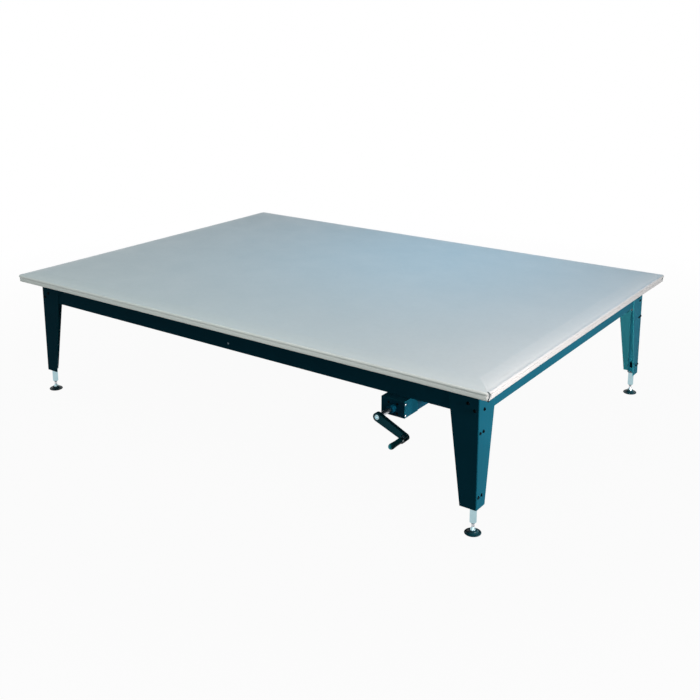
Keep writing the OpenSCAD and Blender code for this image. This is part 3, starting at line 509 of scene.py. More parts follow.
def matRing(cfg, inset, pull):
    # A closed ring of the mat in plan, counter-clockwise from the +X side's lower corner
    hx, hy = cfg["size"][0] / 2 - inset, cfg["size"][1] / 2 - inset
    radius = max(cfg["cornerRadius"] - inset, cfg["innerRadius"])
    square = smoothStep(overEdge(cfg, inset))
    half = cfg["cornerSteps"] // 2
    reach = half * cfg["cornerCell"]
    lead = radius * (1 - square) + reach * square
    points = []
    signs = [(1, 1), (-1, 1), (-1, -1), (1, -1)]
    for k in range(4):
        sx, sy = signs[k]
        for i in range(cfg["cornerSteps"] + 1):
            turn = math.pi / 2 * (k + i / cfg["cornerSteps"])
            arcX = sx * (hx - radius) + radius * math.cos(turn)
            arcY = sy * (hy - radius) + radius * math.sin(turn)
            step = i - half
            off = abs(step) * cfg["cornerCell"]
            if k % 2 == 0:
                boxed = (sx * hx, sy * (hy - off)) if step < 0 else (sx * (hx - off), sy * hy)
            else:
                boxed = (sx * (hx - off), sy * hy) if step < 0 else (sx * hx, sy * (hy - off))
            x = arcX * (1 - square) + boxed[0] * square
            points.append((x, arcY * (1 - square) + boxed[1] * square))
        n = cfg["sideSteps"][0] if k % 2 == 0 else cfg["sideSteps"][1]
        nx, ny = signs[(k + 1) % 4]
        if k % 2 == 0:
            a, b, out = (sx * (hx - lead), sy * hy), (nx * (hx - lead), ny * hy), (0, sy)
        else:
            a, b, out = (sx * hx, sy * (hy - lead)), (nx * hx, ny * (hy - lead)), (sx, 0)
        for j in range(1, n):
            t = j / n
            bow = pull * cfg["drawIn"] * sideBow(t)
            x = a[0] + (b[0] - a[0]) * t - out[0] * bow
            points.append((x, a[1] + (b[1] - a[1]) * t - out[1] * bow))
    return points


def crownHeight(cfg, x, y):
    inset = min(cfg["size"][0] / 2 - abs(x), cfg["size"][1] / 2 - abs(y))
    ins = [c[0] for c in cfg["crown"]]
    return float(np.interp(inset, ins, [c[1] for c in cfg["crown"]]))


def buildMat(cfg, name, outline, sink=0.0):
    # Rings from the hem up the rolled edge, then a grid over the top
    rings = []
    for inset, height in outline:
        pull = 1.0 if height < cfg["beadTop"] else max(0.0, 1 - overEdge(cfg, inset))
        if height < 0 and inset > cfg["hemInset"]:
            pull = 0.0
        plan = matRing(cfg, inset, pull)
        rings.append([(x, y + layout["shift"], layout["deckZ"] + height) for x, y in plan])
    shell = Shell()
    made = shell.loft(rings, capFirst=False, capLast=False)
    last = rings[-1]
    c, (nl, ns) = cfg["cornerSteps"], cfg["sideSteps"]
    half = c // 2
    # Start of each side in the ring: from one corner's middle to the next
    long = nl + c
    short = ns + c
    n = len(last)
    first = half  # the middle of the corner at +X +Y
    alongX = [last[(first + i) % n] for i in range(long + 1)]  # +Y side, from +X to -X
    alongY = [last[(first + long + i) % n] for i in range(short + 1)]  # -X side, from +Y to -Y
    xs = [p[0] for p in alongX]
    ys = [p[1] for p in alongY]
    base = made[-1][0]

    def ringIndex(i, j):
        if j == 0:
            return base + (first + i) % n
        if i == long:
            return base + (first + long + j) % n
        if j == short:
            return base + (first + 2 * long + short - i) % n
        if i == 0:
            return base + (first + 2 * long + 2 * short - j) % n
        return None

    index = {}
    for i in range(long + 1):
        for j in range(short + 1):
            at = ringIndex(i, j)
            if at is None:
                at = len(shell.verts)
                x, y = xs[i], ys[j]
                height = crownHeight(cfg, x, y - layout["shift"]) - sink
                shell.verts.append((x, y, layout["deckZ"] + height))
            index[i, j] = at
    for i in range(long):
        for j in range(short):
            square = (index[i, j], index[i + 1, j], index[i + 1, j + 1], index[i, j + 1])
            shell.faces.append(square)
    return linkMesh(name, shell.verts, shell.faces)


def meshPoints(piece):
    co = np.zeros(len(piece.data.vertices) * 3)
    piece.data.vertices.foreach_get("co", co)
    return co.reshape(-1, 3)


def meshNormals(piece):
    out = np.zeros(len(piece.data.vertices) * 3)
    piece.data.vertices.foreach_get("normal", out)
    return out.reshape(-1, 3)


def setPoints(piece, points):
    piece.data.vertices.foreach_set("co", np.asarray(points, np.float32).ravel())
    piece.data.update()


def evenOut(piece, values, rounds):
    # Averages each point's value with its neighbours' some times over
    ends = np.zeros(len(piece.data.edges) * 2, int)
    piece.data.edges.foreach_get("vertices", ends)
    a, b = ends[::2], ends[1::2]
    count = 1 + np.bincount(ends, minlength=len(values))
    for _ in range(rounds):
        near = np.bincount(a, values[b], len(values))
        near = near + np.bincount(b, values[a], len(values))
        values = (values + near) / count
    return values


def swellMat(piece, cfg):
    # The cover is held at its hem and blown up. The pressure takes the whole top far past the
    # cap, so the cap sets how high it ends. Nothing collides with the foam in the simulation.
    swell = cfg["swell"]
    rest = meshPoints(piece)
    low = layout["deckZ"] + swell["heldBelow"]
    pins = piece.vertex_groups.new(name="held")
    held = [int(i) for i in np.nonzero(rest[:, 2] < low)[0]]
    pins.add(held, 1.0, "ADD")
    cloth = piece.modifiers.new("cloth", "CLOTH")
    soft = cloth.settings
    for key, value in cfg["cloth"].items():
        setattr(soft, key, value)
    soft.vertex_group_mass = "held"
    soft.use_pressure = True
    soft.uniform_pressure_force = swell["pressure"]
    soft.effector_weights.gravity = 0
    cloth.collision_settings.use_collision = False
    scene = bpy.context.scene
    cloth.point_cache.frame_start = 1
    cloth.point_cache.frame_end = swell["frames"]
    for f in range(1, swell["frames"] + 1):
        scene.frame_set(f)
    graph = bpy.context.evaluated_depsgraph_get()
    done = piece.evaluated_get(graph).to_mesh()
    co = np.zeros(len(done.vertices) * 3)
    done.vertices.foreach_get("co", co)
    piece.evaluated_get(graph).to_mesh_clear()
    piece.modifiers.remove(cloth)
    piece.vertex_groups.remove(pins)
    outward = meshNormals(piece)
    rise = ((co.reshape(-1, 3) - rest) * outward).sum(axis=1)
    cap = swell["cap"]
    kept = np.maximum(cap * np.tanh(rise / cap), 0)  # inward moves are dropped, as foam is there
    kept = evenOut(piece, kept, swell["even"])
    sizes = (rise.max() * 1000, kept.max() * 1000)
    print("mat swelled by up to %.1f mm, kept to %.1f mm" % sizes)
    setPoints(piece, rest + outward * kept[:, None])
    scene.frame_set(1)


pleatSet = {
    "turn": 46.0,  # degrees round the corner from the short side, at the fold's top
    "hook": 36.0,  # how far the fold swings towards the short side below its top
    "raise": 0.0012,
    "groove": 0.0042,  # depth
    "line": 0.0021,  # half width of the groove
    "shade": 0.0034,  # half width of the painted shade line in it
    # strength: how dark the painted shade line gets in the groove
    "strength": 1.6,
    "width": 0.010,  # of the raised side
    "reach": 0.012,  # how far in over the top the fold dies out
    "inward": 0.003,
    "around": 0.004,  # margin beside the corner's own quarter
    "height": 0.028,
    "bend": 1.1,
    "hemFade": (0.001, 0.005, 0.2),  # depth, height and least share of the fold at the hem
    "flat": -0.0005,  # below this height the fold runs in under the deck
}


def pressPleats(piece, mat, cfg):
    # One tuck at each corner: a hooked groove with the overlapping side raised, and a painted shade line
    # along the groove
    points = meshPoints(piece)
    normals = meshNormals(piece)
    radius = mat["cornerRadius"]
    hx, hy = mat["size"][0] / 2 - radius, mat["size"][1] / 2 - radius
    side = points - np.array((0, layout["shift"], layout["deckZ"]))
    paintedFoldShade = np.zeros(len(points))
    depth, height, least = cfg["hemFade"]
    for sx, sy in corners.values():
        across = sx * side[:, 0] - hx
        along = sy * side[:, 1] - hy
        away = np.hypot(across, along)
        near = (across > -cfg["around"]) & (along > -cfg["around"]) & (away > 0.001)
        drop = np.clip(1 - side[:, 2] / cfg["height"], 0, 1)
        swing = np.sin(drop * math.pi * cfg["bend"]).clip(0, 1)
        lean = np.radians(cfg["turn"] - cfg["hook"] * swing)
        offset = (np.arctan2(along, across) - lean) * radius
        fade = np.clip(1 - (radius - away - cfg["inward"]) / cfg["reach"], 0, 1) ** 2
        fade = np.where(side[:, 2] < cfg["flat"], np.clip(away / radius, 0, 1), fade)
        fade = fade * np.clip((side[:, 2] + depth) / height, least, 1)
        rise = cfg["raise"] * np.clip(1 - offset / cfg["width"], 0, 1) ** 2
        lift = np.where(offset > 0, rise, 0)
        line = np.exp(-((offset / cfg["line"]) ** 2))
        points += normals * ((lift - cfg["groove"] * line) * fade * near)[:, None]
        # Painted shade along the groove, kept in the mesh attribute for the vinyl's colour
        dark = np.clip(cfg["strength"] * np.exp(-((offset / cfg["shade"]) ** 2)), 0, 1)
        paintedFoldShade = np.maximum(paintedFoldShade, dark * np.clip(2 * fade, 0, 1) * near)
    setPoints(piece, points)
    shade = piece.data.attributes.new(tuckShadeName, "FLOAT", "POINT")
    shade.data.foreach_set("value", paintedFoldShade.astype(np.float32))


matPad = buildMat(matSet, "matPad", matSet["outline"])
swellMat(matPad, matSet)
pressPleats(matPad, matSet, pleatSet)
thick = matPad.modifiers.new("skin", "SOLIDIFY")
thick.thickness = matSet["skin"]
thick.offset = -1
finishPiece(matPad, "platform", "vinyl", ["mat_cover"])

coreSet = {"sunk": 0.0022, "lip": 0.0045, "floor": 0.0135, "rimInset": 0.012, "topFrom": 0.05}


def buildCore(cfg, mat):
    # The foam slab under the cover, with the deck let into its underside
    side = [(i, h) for i, h in mat["outline"] if h > cfg["lip"] and i < cfg["topFrom"]]
    edge = [(i + cfg["sunk"], h - cfg["sunk"] * 0.4) for i, h in side]
    top = [(i, h - cfg["sunk"]) for i, h in mat["outline"] if i >= cfg["topFrom"]]
    outline = [(cfg["rimInset"], cfg["lip"])] + edge + top
    piece = buildMat(mat, "foamCore", outline, sink=cfg["sunk"])
    bm = bmesh.new()
    bm.from_mesh(piece.data)
    rim = [e for e in bm.edges if e.is_boundary]
    inner = bmesh.ops.extrude_edge_only(bm, edges=rim)
    lifted = [g for g in inner["geom"] if isinstance(g, bmesh.types.BMVert)]
    for v in lifted:
        v.co.z = layout["deckZ"] + cfg["floor"]
    floorRim = [e for e in bm.edges if e.is_boundary]
    bmesh.ops.contextual_create(bm, geom=floorRim)
    bmesh.ops.recalc_face_normals(bm, faces=bm.faces)
    bm.to_mesh(piece.data)
    bm.free()
    return piece


foamCore = buildCore(coreSet, matSet)
pressPleats(foamCore, matSet, pleatSet)
finishPiece(foamCore, "platform", "foam", ["mat_foam"])
print("mat:", len(matPad.data.polygons), "faces")


# Rails, legs and pump are left out: their long faces shade badly after a bevel, and the paint
# rounds their edges
frameEdges = {
    "cross_members": 0.0012, "corner_gussets": 0.0006, "deck_clips": 0.0005,
    "cylinder_blocks": 0.0008, "hose_clips": 0.0006,
}
for name, width in frameEdges.items():
    roundEdges(nodes[name], width)
roundEdges(nodes["crank_arm"], 0.0042, 4)
print("frame edges rounded:", len(frameEdges))


stapleSet = {
    "inset": 0.033, "spacing": 0.04, "crown": 0.0112, "wire": (0.0012, 0.0006), "turn": 16,
    "seed": 7, "turnSpread": 9, "placeSpread": 0.0015, "leg": 0.002, "bend": 0.0005, "hem": 0.0015,
}


def barAlong(shell, path, wide, high, across, up):
    # A flat wire through some points, with square ends
    signs = ((-1, -1), (1, -1), (1, 1), (-1, 1))
    square = [across * (sx * wide / 2) + up * (sz * high / 2) for sx, sz in signs]
    shell.loft([[tuple(Vector(p) + q) for q in square] for p in path])


def buildStaples(cfg, mat):
    shell = Shell()
    hemZ = layout["deckZ"] - cfg["hem"]
    hx, hy = mat["size"][0] / 2 - cfg["inset"], mat["size"][1] / 2 - cfg["inset"]
    ends = [(-hx, -hy), (hx, -hy), (hx, hy), (-hx, hy), (-hx, -hy)]
    rng = np.random.default_rng(cfg["seed"])
    half, drop = cfg["crown"] / 2, cfg["wire"][1] / 2
    inner, leg = half - cfg["bend"], cfg["leg"]
    steps = [(-half, leg), (-half, 0), (-inner, -drop), (inner, -drop), (half, 0), (half, leg)]
    up = Vector((0, 0, 1))
    count = 0
    for a, b in zip(ends, ends[1:]):
        a, b = Vector((*a, 0)), Vector((*b, 0))
        along = (b - a).normalized()
        n = int((b - a).length / cfg["spacing"])
        for i in range(1, n):
            lean = cfg["turn"] + rng.uniform(-cfg["turnSpread"], cfg["turnSpread"])
            turn = math.radians(lean) * (1 if i % 2 else -1)
            way = Matrix.Rotation(turn, 3, "Z") @ along
            across = way.cross(up)
            middle = a + along * ((b - a).length * i / n) + Vector((0, layout["shift"], hemZ))
            middle += across * rng.uniform(-cfg["placeSpread"], cfg["placeSpread"])
            barAlong(shell, [middle + way * s + up * z for s, z in steps], *cfg["wire"], across, up)
            count += 1
    piece = linkMesh("hemStaples", shell.verts, shell.faces, smooth=False)
    bm = bmesh.new()
    bm.from_mesh(piece.data)
    bmesh.ops.recalc_face_normals(bm, faces=bm.faces)
    bm.to_mesh(piece.data)
    bm.free()
    print("staples:", count)
    return piece


finishPiece(buildStaples(stapleSet, matSet), "platform", "bright_steel")


# Heads are given as width and height, sockets as width across flats and depth
fastenerSet = {
    "legBolts": {
        "node": "leg_bolts", "slot": "bolt_steel",
        "shank": 0.008, "head": (0.0115, 0.0042), "socket": (0.005, 0.0026),
        "thread": 0.00125, "nut": (0.013, 0.0081),
        "longerThan": 0.02,  # the node's shorter solids are its nuts
    },
    "blockScrews": {
        "node": "block_screws", "slot": "bolt_steel",
        "shank": 0.006, "head": (0.011, 0.004), "socket": (0.004, 0.0022), "axis": 0,
    },
    "pumpSideScrews": {
        "node": "pump_screws", "slot": "bright_steel",
        "shank": 0.0042, "head": (0.0084, 0.0021), "socket": (0.003, 0.0012), "along": 0,
    },
    # Painted shade: the face screws are the same steel as the side screws, drawn dark in the oxide look
    "pumpFaceScrews": {
        "node": "pump_screws", "slot": "bolt_steel",
        "shank": 0.0042, "head": (0.0084, 0.0021), "socket": (0.003, 0.0012), "along": 1,
    },
    "clipScrews": {
        "node": "clip_screws", "slot": "bright_steel", "look": "pump_steel",
        "shank": 0.004, "head": (0.008, 0.002), "socket": (0.0025, 0.0011), "axis": 1,
    },
    "deckScrews": {
        "node": "deck_screws", "slot": "bright_steel",
        "shank": 0.0042, "head": (0.0084, 0.0021), "socket": (0.003, 0.0012), "axis": 2,
    },
    "hubScrew": {
        "node": "hub_screw", "body": "crank", "slot": "chrome",
        "shank": 0.0063, "head": (0.016, 0.005), "socket": (0.006, 0.003), "axis": 1,
    },
}
screwSteps = 36


def threadRings(major, pitch, start, end, steps, perTurn=6):
    # A helical thread of 60 degrees with a flat crest, from start to end
    depth = pitch * 0.5
    count = max(2, int((end - start) / pitch * perTurn))
    rings = []
    for k in range(count + 1):
        z = start + (end - start) * k / count
        ease = min(1.0, (z - start) / pitch, (end - z) / pitch)
        ring = []
        for i in range(steps):
            turn = 2 * math.pi * i / steps
            phase = (z / pitch - turn / (2 * math.pi)) % 1.0
            cut = max(0.0, min(1.0, 1.25 - 2.5 * abs(phase - 0.5)))
            r = major / 2 - depth * cut * max(0.0, ease)
            ring.append((r * math.cos(turn), r * math.sin(turn), z))
        rings.append(ring)
    return rings


def screwRings(cfg, length):
    # From the socket's floor over the domed head and down the shank
    steps = screwSteps
    headD, headH = cfg["head"]
    flats, deep = cfg["socket"]
    ball = (headD * headD / 4 + headH * headH) / (2 * headH)

    def dome(r):
        return -(math.sqrt(max(0.0, ball * ball - r * r)) - (ball - headH))

    lip = flats / 2 / math.cos(math.pi / 6) * 1.1
    rings = [hexRing(flats * 0.96, dome(lip) + deep, steps), hexRing(flats, dome(lip) + 0.0002, steps)]
    rings.append(roundRing(lip, dome(lip), steps))
    for k in range(1, 6):
        r = lip + (headD / 2 * 0.985 - lip) * k / 5
        rings.append(roundRing(r, dome(r), steps))
    rings.append(roundRing(headD / 2, -headH * 0.04, steps))
    rings.append(roundRing(headD / 2 * 0.985, 0, steps))
    rings.append(roundRing(cfg["shank"] / 2, 0, steps))
    chamfer = cfg["shank"] * 0.1
    if "thread" in cfg:
        rings += threadRings(cfg["shank"], cfg["thread"], length * 0.4, length - chamfer, steps)
    rings.append(roundRing(cfg["shank"] / 2, length - chamfer, steps))
    rings.append(roundRing(cfg["shank"] / 2 - chamfer, length, steps))
    return rings


def nutRings(flats, bore, height):
    steps = screwSteps
    ease = height * 0.12
    inner = bore / 2
    cut = [(x * 0.95, y * 0.95, z) for x, y, z in roundRing(flats / 2, 0, steps)]
    rings = [roundRing(inner, ease, steps), roundRing(inner + ease * 0.8, 0, steps), cut]
    rings += [hexRing(flats, ease * 1.6, steps), hexRing(flats, height - ease * 1.6, steps)]
    rings += [[(x, y, height) for x, y, z in cut], roundRing(inner + ease * 0.8, height, steps)]
    rings.append(roundRing(inner, height - ease, steps))
    return rings + [rings[0]]


def placeOfSolid(points, axis):
    # Middle line, ends and the end where the solid is widest
    low, high = points.min(axis=0), points.max(axis=0)
    middle = (low + high) / 2
    others = [k for k in range(3) if k != axis]
    offset = points - middle
    away = np.hypot(offset[:, others[0]], offset[:, others[1]])
    widest = points[away > away.max() * 0.97][:, axis].mean()
    return middle, low[axis], high[axis], widest


def buildFasteners(name, cfg):
    shell = Shell()
    for points in islandsOf(cfg["node"]):
        size = points.max(axis=0) - points.min(axis=0)
        isScrew = size.max() > cfg.get("longerThan", 0)
        axis = cfg.get("axis", int(np.argmax(size) if isScrew else np.argmin(size)))
        if cfg.get("along", axis) != axis:
            continue
        middle, low, high, widest = placeOfSolid(points, axis)
        direction = [0, 0, 0]
        origin = list(middle)
        if isScrew:
            headFirst = widest < (low + high) / 2
            direction[axis] = 1 if headFirst else -1
            origin[axis] = low + cfg["head"][1] if headFirst else high - cfg["head"][1]
            length = high - low - cfg["head"][1]
            shell.loft(screwRings(cfg, length), matrix=axisMatrix(origin, direction))
        else:
            direction[axis] = 1
            origin[axis] = low
            place = axisMatrix(origin, direction)
            shell.loft(nutRings(*cfg["nut"], high - low), False, False, place)
    piece = linkMesh(name, shell.verts, shell.faces, sharp=35)
    finishPiece(piece, cfg.get("body", "platform"), cfg["slot"], [cfg["node"]], cfg.get("look"))


for name, cfg in fastenerSet.items():
    buildFasteners(name, cfg)
print("fasteners:", len(fastenerSet), "kinds")


footSet = {
    "ballZ": 0.012,
    "ballRadius": 0.009,
    "padRadius": 0.0265,
    "studMajor": 0.010,
    "studPitch": 0.0015,
    "tip": 0.007,
    "swivelTop": 0.021,
    "flats": (0.008, 0.024, 0.030),  # across flats, from and to
    "studTop": 0.075,
}


def footPlace(side, end):
    inX, inY = layout["cylinderIn"]
    return side * (layout["corner"][0] - inX), end * (layout["corner"][1] - inY) + layout["shift"]


def latheRings(profile, steps):
    return [roundRing(r, z, steps) for r, z in profile]


def arcPoints(middle, radius, start, end, count):
    return [
        (middle[0] + radius * math.cos(math.radians(a)), middle[1] + radius * math.sin(math.radians(a)))
        for a in np.linspace(start, end, count)
    ]


def buildPad(cfg, name, side, end):
    # Moulded pad: rolled rim, a ring groove, a coned web and the ball's socket
    x, y = footPlace(side, end)
    radius = cfg["padRadius"]
    profile = [(0.0006, 0.0), (0.0190, 0.0), (0.0197, 0.0007), (0.0221, 0.0007), (0.0228, 0.0)]
    profile += arcPoints((radius - 0.0018, 0.0018), 0.0018, -90, 60, 8)
    profile += [(0.0247, 0.0040), (0.0234, 0.0043), (0.0224, 0.0041), (0.0217, 0.0036)]
    profile += [(0.0208, 0.0034), (0.0197, 0.0037), (0.0168, 0.0052), (0.0148, 0.0066)]
    profile += [(0.0137, 0.0079), (0.0131, 0.0095), (0.0130, 0.0108)]
    profile += arcPoints((0.0121, 0.0111), 0.0009, 0, 90, 5) + [(0.0098, 0.0120)]
    profile += arcPoints((0, cfg["ballZ"]), cfg["ballRadius"], 0, -86, 14)
    shell = Shell()
    shell.loft(latheRings(profile, 72), matrix=Matrix.Translation((x, y, 0)))
    piece = linkMesh("footPad_" + name, shell.verts, shell.faces, sharp=50)
    body = "pad_" + name
    finishPiece(piece, body, "pad_plastic", [body])


def buildStud(cfg, name, side, end):
    # Levelling stud: rolled thread with two spanner flats near its foot
    x, y = footPlace(side, end)
    steps = 40
    major = cfg["studMajor"]
    flats, low, high = cfg["flats"]
    tip, top, foot = cfg["tip"] / 2, cfg["studTop"], cfg["swivelTop"]
    lower = [
        (tip - 0.0004, cfg["ballZ"]), (tip, cfg["ballZ"] + 0.0004), (tip, foot),
        (major / 2 - 0.0006, foot), (major / 2, foot + 0.0006), (major / 2, low - 0.0002),
    ]
    rings = latheRings(lower, steps)
    for z in (low, high):
        whole = roundRing(major / 2, z, steps)
        rings.append([(max(-flats / 2, min(flats / 2, px)), py, z) for px, py, _ in whole])
    rings.append(roundRing(major / 2, high + 0.0002, steps))
    rings += threadRings(major, cfg["studPitch"], high + 0.0008, top - 0.001, steps)
    rings += latheRings([(major / 2, top - 0.001), (major / 2 - 0.001, top)], steps)
    shell = Shell()
    shell.loft(rings, matrix=Matrix.Translation((x, y, 0)))
    piece = linkMesh("levelStud_" + name, shell.verts, shell.faces, sharp=35)
    body = "stud_" + name
    finishPiece(piece, body, "bright_steel", [body])


for name, (side, end) in corners.items():
    buildPad(footSet, name, side, end)
    buildStud(footSet, name, side, end)
print("feet:", len(corners))


ferruleSet = {
    "profile": [  # radius and place along the hose, from the fitting's side
        (0.0041, -0.001), (0.0058, -0.001), (0.0062, -0.0004), (0.0062, 0.0022), (0.0056, 0.0030),
        (0.0052, 0.0040), (0.0055, 0.0050), (0.0055, 0.0078), (0.0051, 0.0086), (0.0055, 0.0094),
        (0.0055, 0.0122), (0.0051, 0.0130), (0.0055, 0.0138), (0.0055, 0.0166), (0.0052, 0.0174),
        (0.0056, 0.0184), (0.0058, 0.0200), (0.0054, 0.0208), (0.0041, 0.0208),
    ],
    "pumpPorts": [(0.724 + s * 0.020, -0.385, 0.3585) for s in (1.5, 0.5, -0.5, -1.5)],
    "elbow": (0.9715, 0.639, 0.370),
}


def buildFerrules(cfg):
    # Crimped sleeves where the hoses meet their fittings
    shell = Shell()
    shift = Vector((0, layout["shift"], 0))
    ends = [(Vector(p) + shift, (0, 1, 0)) for p in cfg["pumpPorts"]]
    ex, ey, ez = cfg["elbow"]
    ends += [(Vector((sx * ex, sy * ey, ez)) + shift, (-sx, 0, 0)) for sx, sy in corners.values()]
    for origin, direction in ends:
        rings = latheRings(cfg["profile"], 32)
        shell.loft(rings + [rings[0]], False, False, axisMatrix(origin, direction))
    piece = linkMesh("hoseFerrules", shell.verts, shell.faces, sharp=40)
    finishPiece(piece, "platform", "bright_steel")


buildFerrules(ferruleSet)


weldSet = {
    "radius": 0.0021, "ripple": 0.0011, "steps": 8,
    "crossX": (-0.724, 0.0, 0.724), "crossW": 0.040, "crossZ": 0.422,  # the cross members
    "railInner": 0.653, "railW": 0.040,
}


def weldBead(shell, a, b, cfg, seed):
    # A rippled bead laid from a to b
    a, b = Vector(a), Vector(b)
    way = (b - a).normalized()
    side = way.orthogonal().normalized()
    up = way.cross(side)
    count = int((b - a).length / cfg["ripple"])
    turns = [2 * math.pi * i / cfg["steps"] for i in range(cfg["steps"])]
    rings = []
    for k in range(count + 1):
        t = k / count
        wave = 0.12 * math.sin(k * math.pi * 0.5 + seed) + 0.06 * math.sin(k * 0.37 + seed * 2)
        r = cfg["radius"] * (1 + wave) * min(1.0, 0.35 + 6 * min(t, 1 - t))
        middle = a + (b - a) * t
        spokes = [side * math.cos(turn) + up * math.sin(turn) for turn in turns]
        rings.append([tuple(middle + spoke * r) for spoke in spokes])
    shell.loft(rings)


def buildWelds(cfg):
    shell = Shell()
    top, foot = layout["deckZ"] - 0.003, layout["railZ"]
    seed = 0
    for end in (-1, 1):
        y = end * cfg["railInner"] + layout["shift"]
        for x in cfg["crossX"]:
            low = cfg["crossZ"]
            left, right = x - cfg["crossW"] / 2, x + cfg["crossW"] / 2
            runs = [((left, y, low), (left, y, top)), ((right, y, low), (right, y, top))]
            runs.append(((left, y, low), (right, y, low)))
            for a, b in runs:
                weldBead(shell, a, b, cfg, seed)
                seed += 1
        for side in (-1, 1):
            x = side * (layout["corner"][0] - 0.003 - cfg["railW"])
            outer = side * (layout["corner"][0] - 0.004)
            weldBead(shell, (x, y, foot + 0.001), (x, y, top - 0.002), cfg, seed)
            weldBead(shell, (x, y, foot), (outer, y, foot), cfg, seed + 1)
            seed += 2
    piece = linkMesh("weldBeads", shell.verts, shell.faces)
    finishPiece(piece, "platform", "frame_paint")


buildWelds(weldSet)
print("ferrules and welds made")


stageSet = {
    "floorSize": 40.0,
    "floorColour": (0.86, 0.86, 0.86, 1.0),
    "seen": 0.955,  # share of plain white in what is seen of the floor near the object
    "fade": (1.5, 3.2),  # distances from the middle between which the floor turns to plain white
    "bounce": 0.25,
}


def whiteForViewers(tree):
    # 1 for camera, glossy and transmission rays
    path = addNode(tree, "LightPath", {}).outputs
    first = calc(tree, "MAXIMUM", path["Is Camera Ray"], path["Is Glossy Ray"])
    return calc(tree, "MAXIMUM", first, path["Is Transmission Ray"])


def makeFloor(cfg):
    half = cfg["floorSize"] / 2
    square = [(-half, -half, 0), (half, -half, 0), (half, half, 0), (-half, half, 0)]
    floor = linkMesh("floor", square, [(0, 1, 2, 3)], False)
    material = bpy.data.materials.new("floorPale")
    material.use_nodes = True
    tree = material.node_tree
    tree.nodes.clear()
    dull = addNode(tree, "BsdfDiffuse", {"Color": dim(cfg["floorColour"], cfg["bounce"])})
    pale = addNode(tree, "BsdfDiffuse", {"Color": cfg["floorColour"]})
    glow = addNode(tree, "Emission", {"Color": (1, 1, 1, 1), "Strength": 1.0})
    where = addNode(tree, "NewGeometry", {})
    away = addNode(tree, "VectorMath", {0: where.outputs["Position"]}, operation="LENGTH")
    seen = spread(tree, away.outputs["Value"], cfg["fade"][0], cfg["fade"][1], cfg["seen"], 1.0)
    soft = addNode(tree, "MixShader", {0: seen, 1: pale.outputs[0], 2: glow.outputs[0]})
    both = addNode(tree, "MixShader", {0: whiteForViewers(tree), 1: dull.outputs[0], 2: soft.outputs[0]})
    clear = addNode(tree, "BsdfTransparent", {})
    sides = {0: where.outputs["Backfacing"], 1: both.outputs[0], 2: clear.outputs[0]}
    oneSided = addNode(tree, "MixShader", sides)
    addNode(tree, "OutputMaterial", {"Surface": oneSided.outputs[0]})
    floor.data.materials.append(material)


worldSet = {"from": (0.3, -0.1, 0.95), "low": 0.04, "high": 0.26}  # brightest from above


def makeWorld(cfg):
    world = bpy.data.worlds.new("studio")
    world.use_nodes = True
    bpy.context.scene.world = world
    tree = world.node_tree
    tree.nodes.clear()
    where = addNode(tree, "TexCoord", {})
    ways = {0: where.outputs["Generated"], 1: cfg["from"]}
    toward = addNode(tree, "VectorMath", ways, operation="DOT_PRODUCT")
    level = spread(tree, toward.outputs["Value"], -0.2, 1.0, cfg["low"], cfg["high"])
    fill = addNode(tree, "Background", {"Color": (1, 1, 1, 1), "Strength": level})
    white = addNode(tree, "Background", {"Color": (1, 1, 1, 1), "Strength": 1.0})
    both = addNode(tree, "MixShader", {0: whiteForViewers(tree), 1: fill.outputs[0], 2: white.outputs[0]})
    addNode(tree, "OutputWorld", {"Surface": both.outputs[0]})


def makeLamp(name, cfg):
    data = bpy.data.lights.new(name, "AREA")
    data.shape = "RECTANGLE"
    data.size, data.size_y = cfg["size"]
    data.energy = cfg["watts"]
    data.color = cfg["colour"]
    lamp = bpy.data.objects.new(name, data)
    lamp.visible_camera = False
    lamp.visible_glossy = cfg.get("shine", True)
    lamp.location = cfg["place"]
    toward = Vector(cfg["aim"]) - Vector(cfg["place"])
    lamp.rotation_euler = toward.to_track_quat("-Z", "Y").to_euler()
    bpy.context.scene.collection.objects.link(lamp)
    if "only" in cfg:
        lit = bpy.data.collections.new(name + "Lights")
        for piece in cfg["only"]:
            lit.objects.link(piece)
        lamp.light_linking.receiver_collection = lit


makeFloor(stageSet)
makeWorld(worldSet)
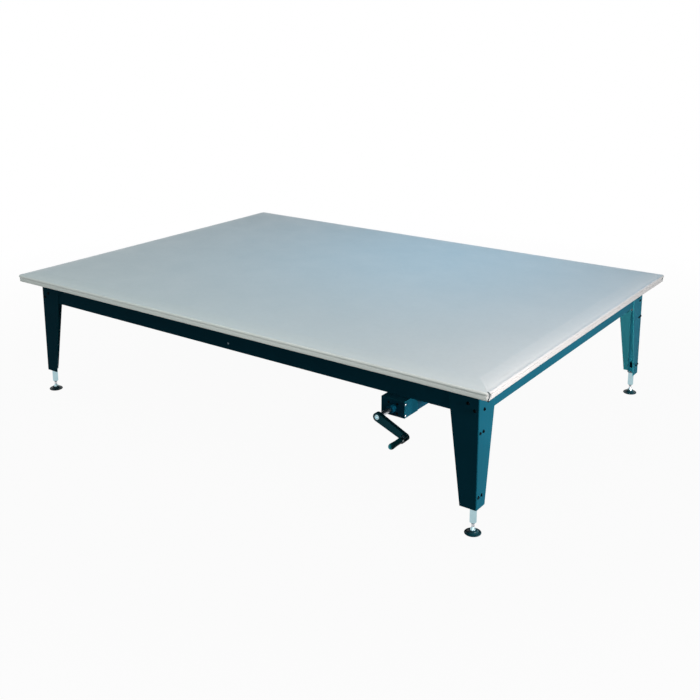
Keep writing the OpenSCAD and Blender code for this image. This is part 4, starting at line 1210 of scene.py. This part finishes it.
# The mat and the crank are lit on their own, apart from the frame
crankPieces = [nodes["crank_arm"], nodes["grip"], nodes["grip_link"]]
litApart = [matPad] + crankPieces
shown = [o for o in bpy.context.scene.objects if o.type == "MESH" and not o.hide_render]
framePieces = [o for o in shown if o.name != "floor" and o not in litApart]
pumpPieces = [nodes[n] for n in ("pump_body", "pump_rear_plate", "pump_bracket")]
matAim = (0.1, -0.1, 0.5)
crankSpot = {"place": (-0.4, -2.4, 0.1), "aim": (0.75, -0.75, 0.33), "size": (0.6, 0.3)}
lamps = {
    "topLamp": {
        "place": (-0.3, -1.0, 4.4), "aim": (0.0, -0.1, 0.5), "size": (2.4, 1.6),
        "watts": 12, "colour": (1.0, 0.98, 0.95),
    },
    "matSide": {
        "place": (2.77, -0.86, 1.08), "aim": matAim, "size": (0.6, 0.5),
        "watts": 68, "colour": (1.16, 0.91, 0.82), "only": [matPad], "shine": False,
    },
    "matFront": {
        "place": (0.14, -2.9, 1.36), "aim": matAim, "size": (1.2, 0.5),
        "watts": 41, "colour": (1.04, 0.95, 0.8), "only": [matPad], "shine": False,
    },
    "matCool": {
        "place": (0.31, 0.73, 1.8), "aim": matAim, "size": (0.9, 0.7),
        "watts": 6.2, "colour": (0.2, 1.05, 1.65), "only": [matPad], "shine": False,
    },
    "matStrip": {
        "place": (-1.7, -1.7, 2.7), "aim": (0.1, -0.7, 0.5), "size": (3.0, 0.35),
        "watts": 13, "colour": (0.85, 1.0, 0.92), "only": [matPad],
    },
    "frameKey": {
        "place": (3.1, -0.4, 0.9), "aim": (1.0, 0.0, 0.3), "size": (1.0, 0.7),
        "watts": 110, "colour": (1.1, 1.0, 1.0), "only": framePieces,
    },
    "frameFill": {
        "place": (2.0, -3.0, 0.7), "aim": (0.9, -0.7, 0.3), "size": (0.8, 0.6),
        "watts": 4, "colour": (1.0, 1.0, 1.1), "only": framePieces,
    },
    "crankLamp": {
        **crankSpot, "watts": 30, "colour": (0.8, 1.0, 1.0), "only": crankPieces[:1],
    },
    "gripLamp": {
        **crankSpot, "watts": 150, "colour": (1.2, 1.0, 1.0), "only": crankPieces[1:],
    },
    "rearLegLamp": {
        "place": (1.15, -0.4, 0.3), "aim": (0.98, 0.7, 0.25), "size": (0.25, 0.25),
        "watts": 32, "colour": (1.8, 1.0, 0.8),
        "only": [nodes["leg_rear_right"], nodes["cylinder_rear_right"]],
    },
    "pumpLamp": {
        "place": (2.4, 0.1, 0.2), "aim": (0.7, -0.6, 0.33), "size": (0.3, 0.3),
        "watts": 34, "colour": (0.4, 1.0, 1.05), "only": pumpPieces,
    },
}
for name, cfg in lamps.items():
    makeLamp(name, cfg)
print("stage and light set")
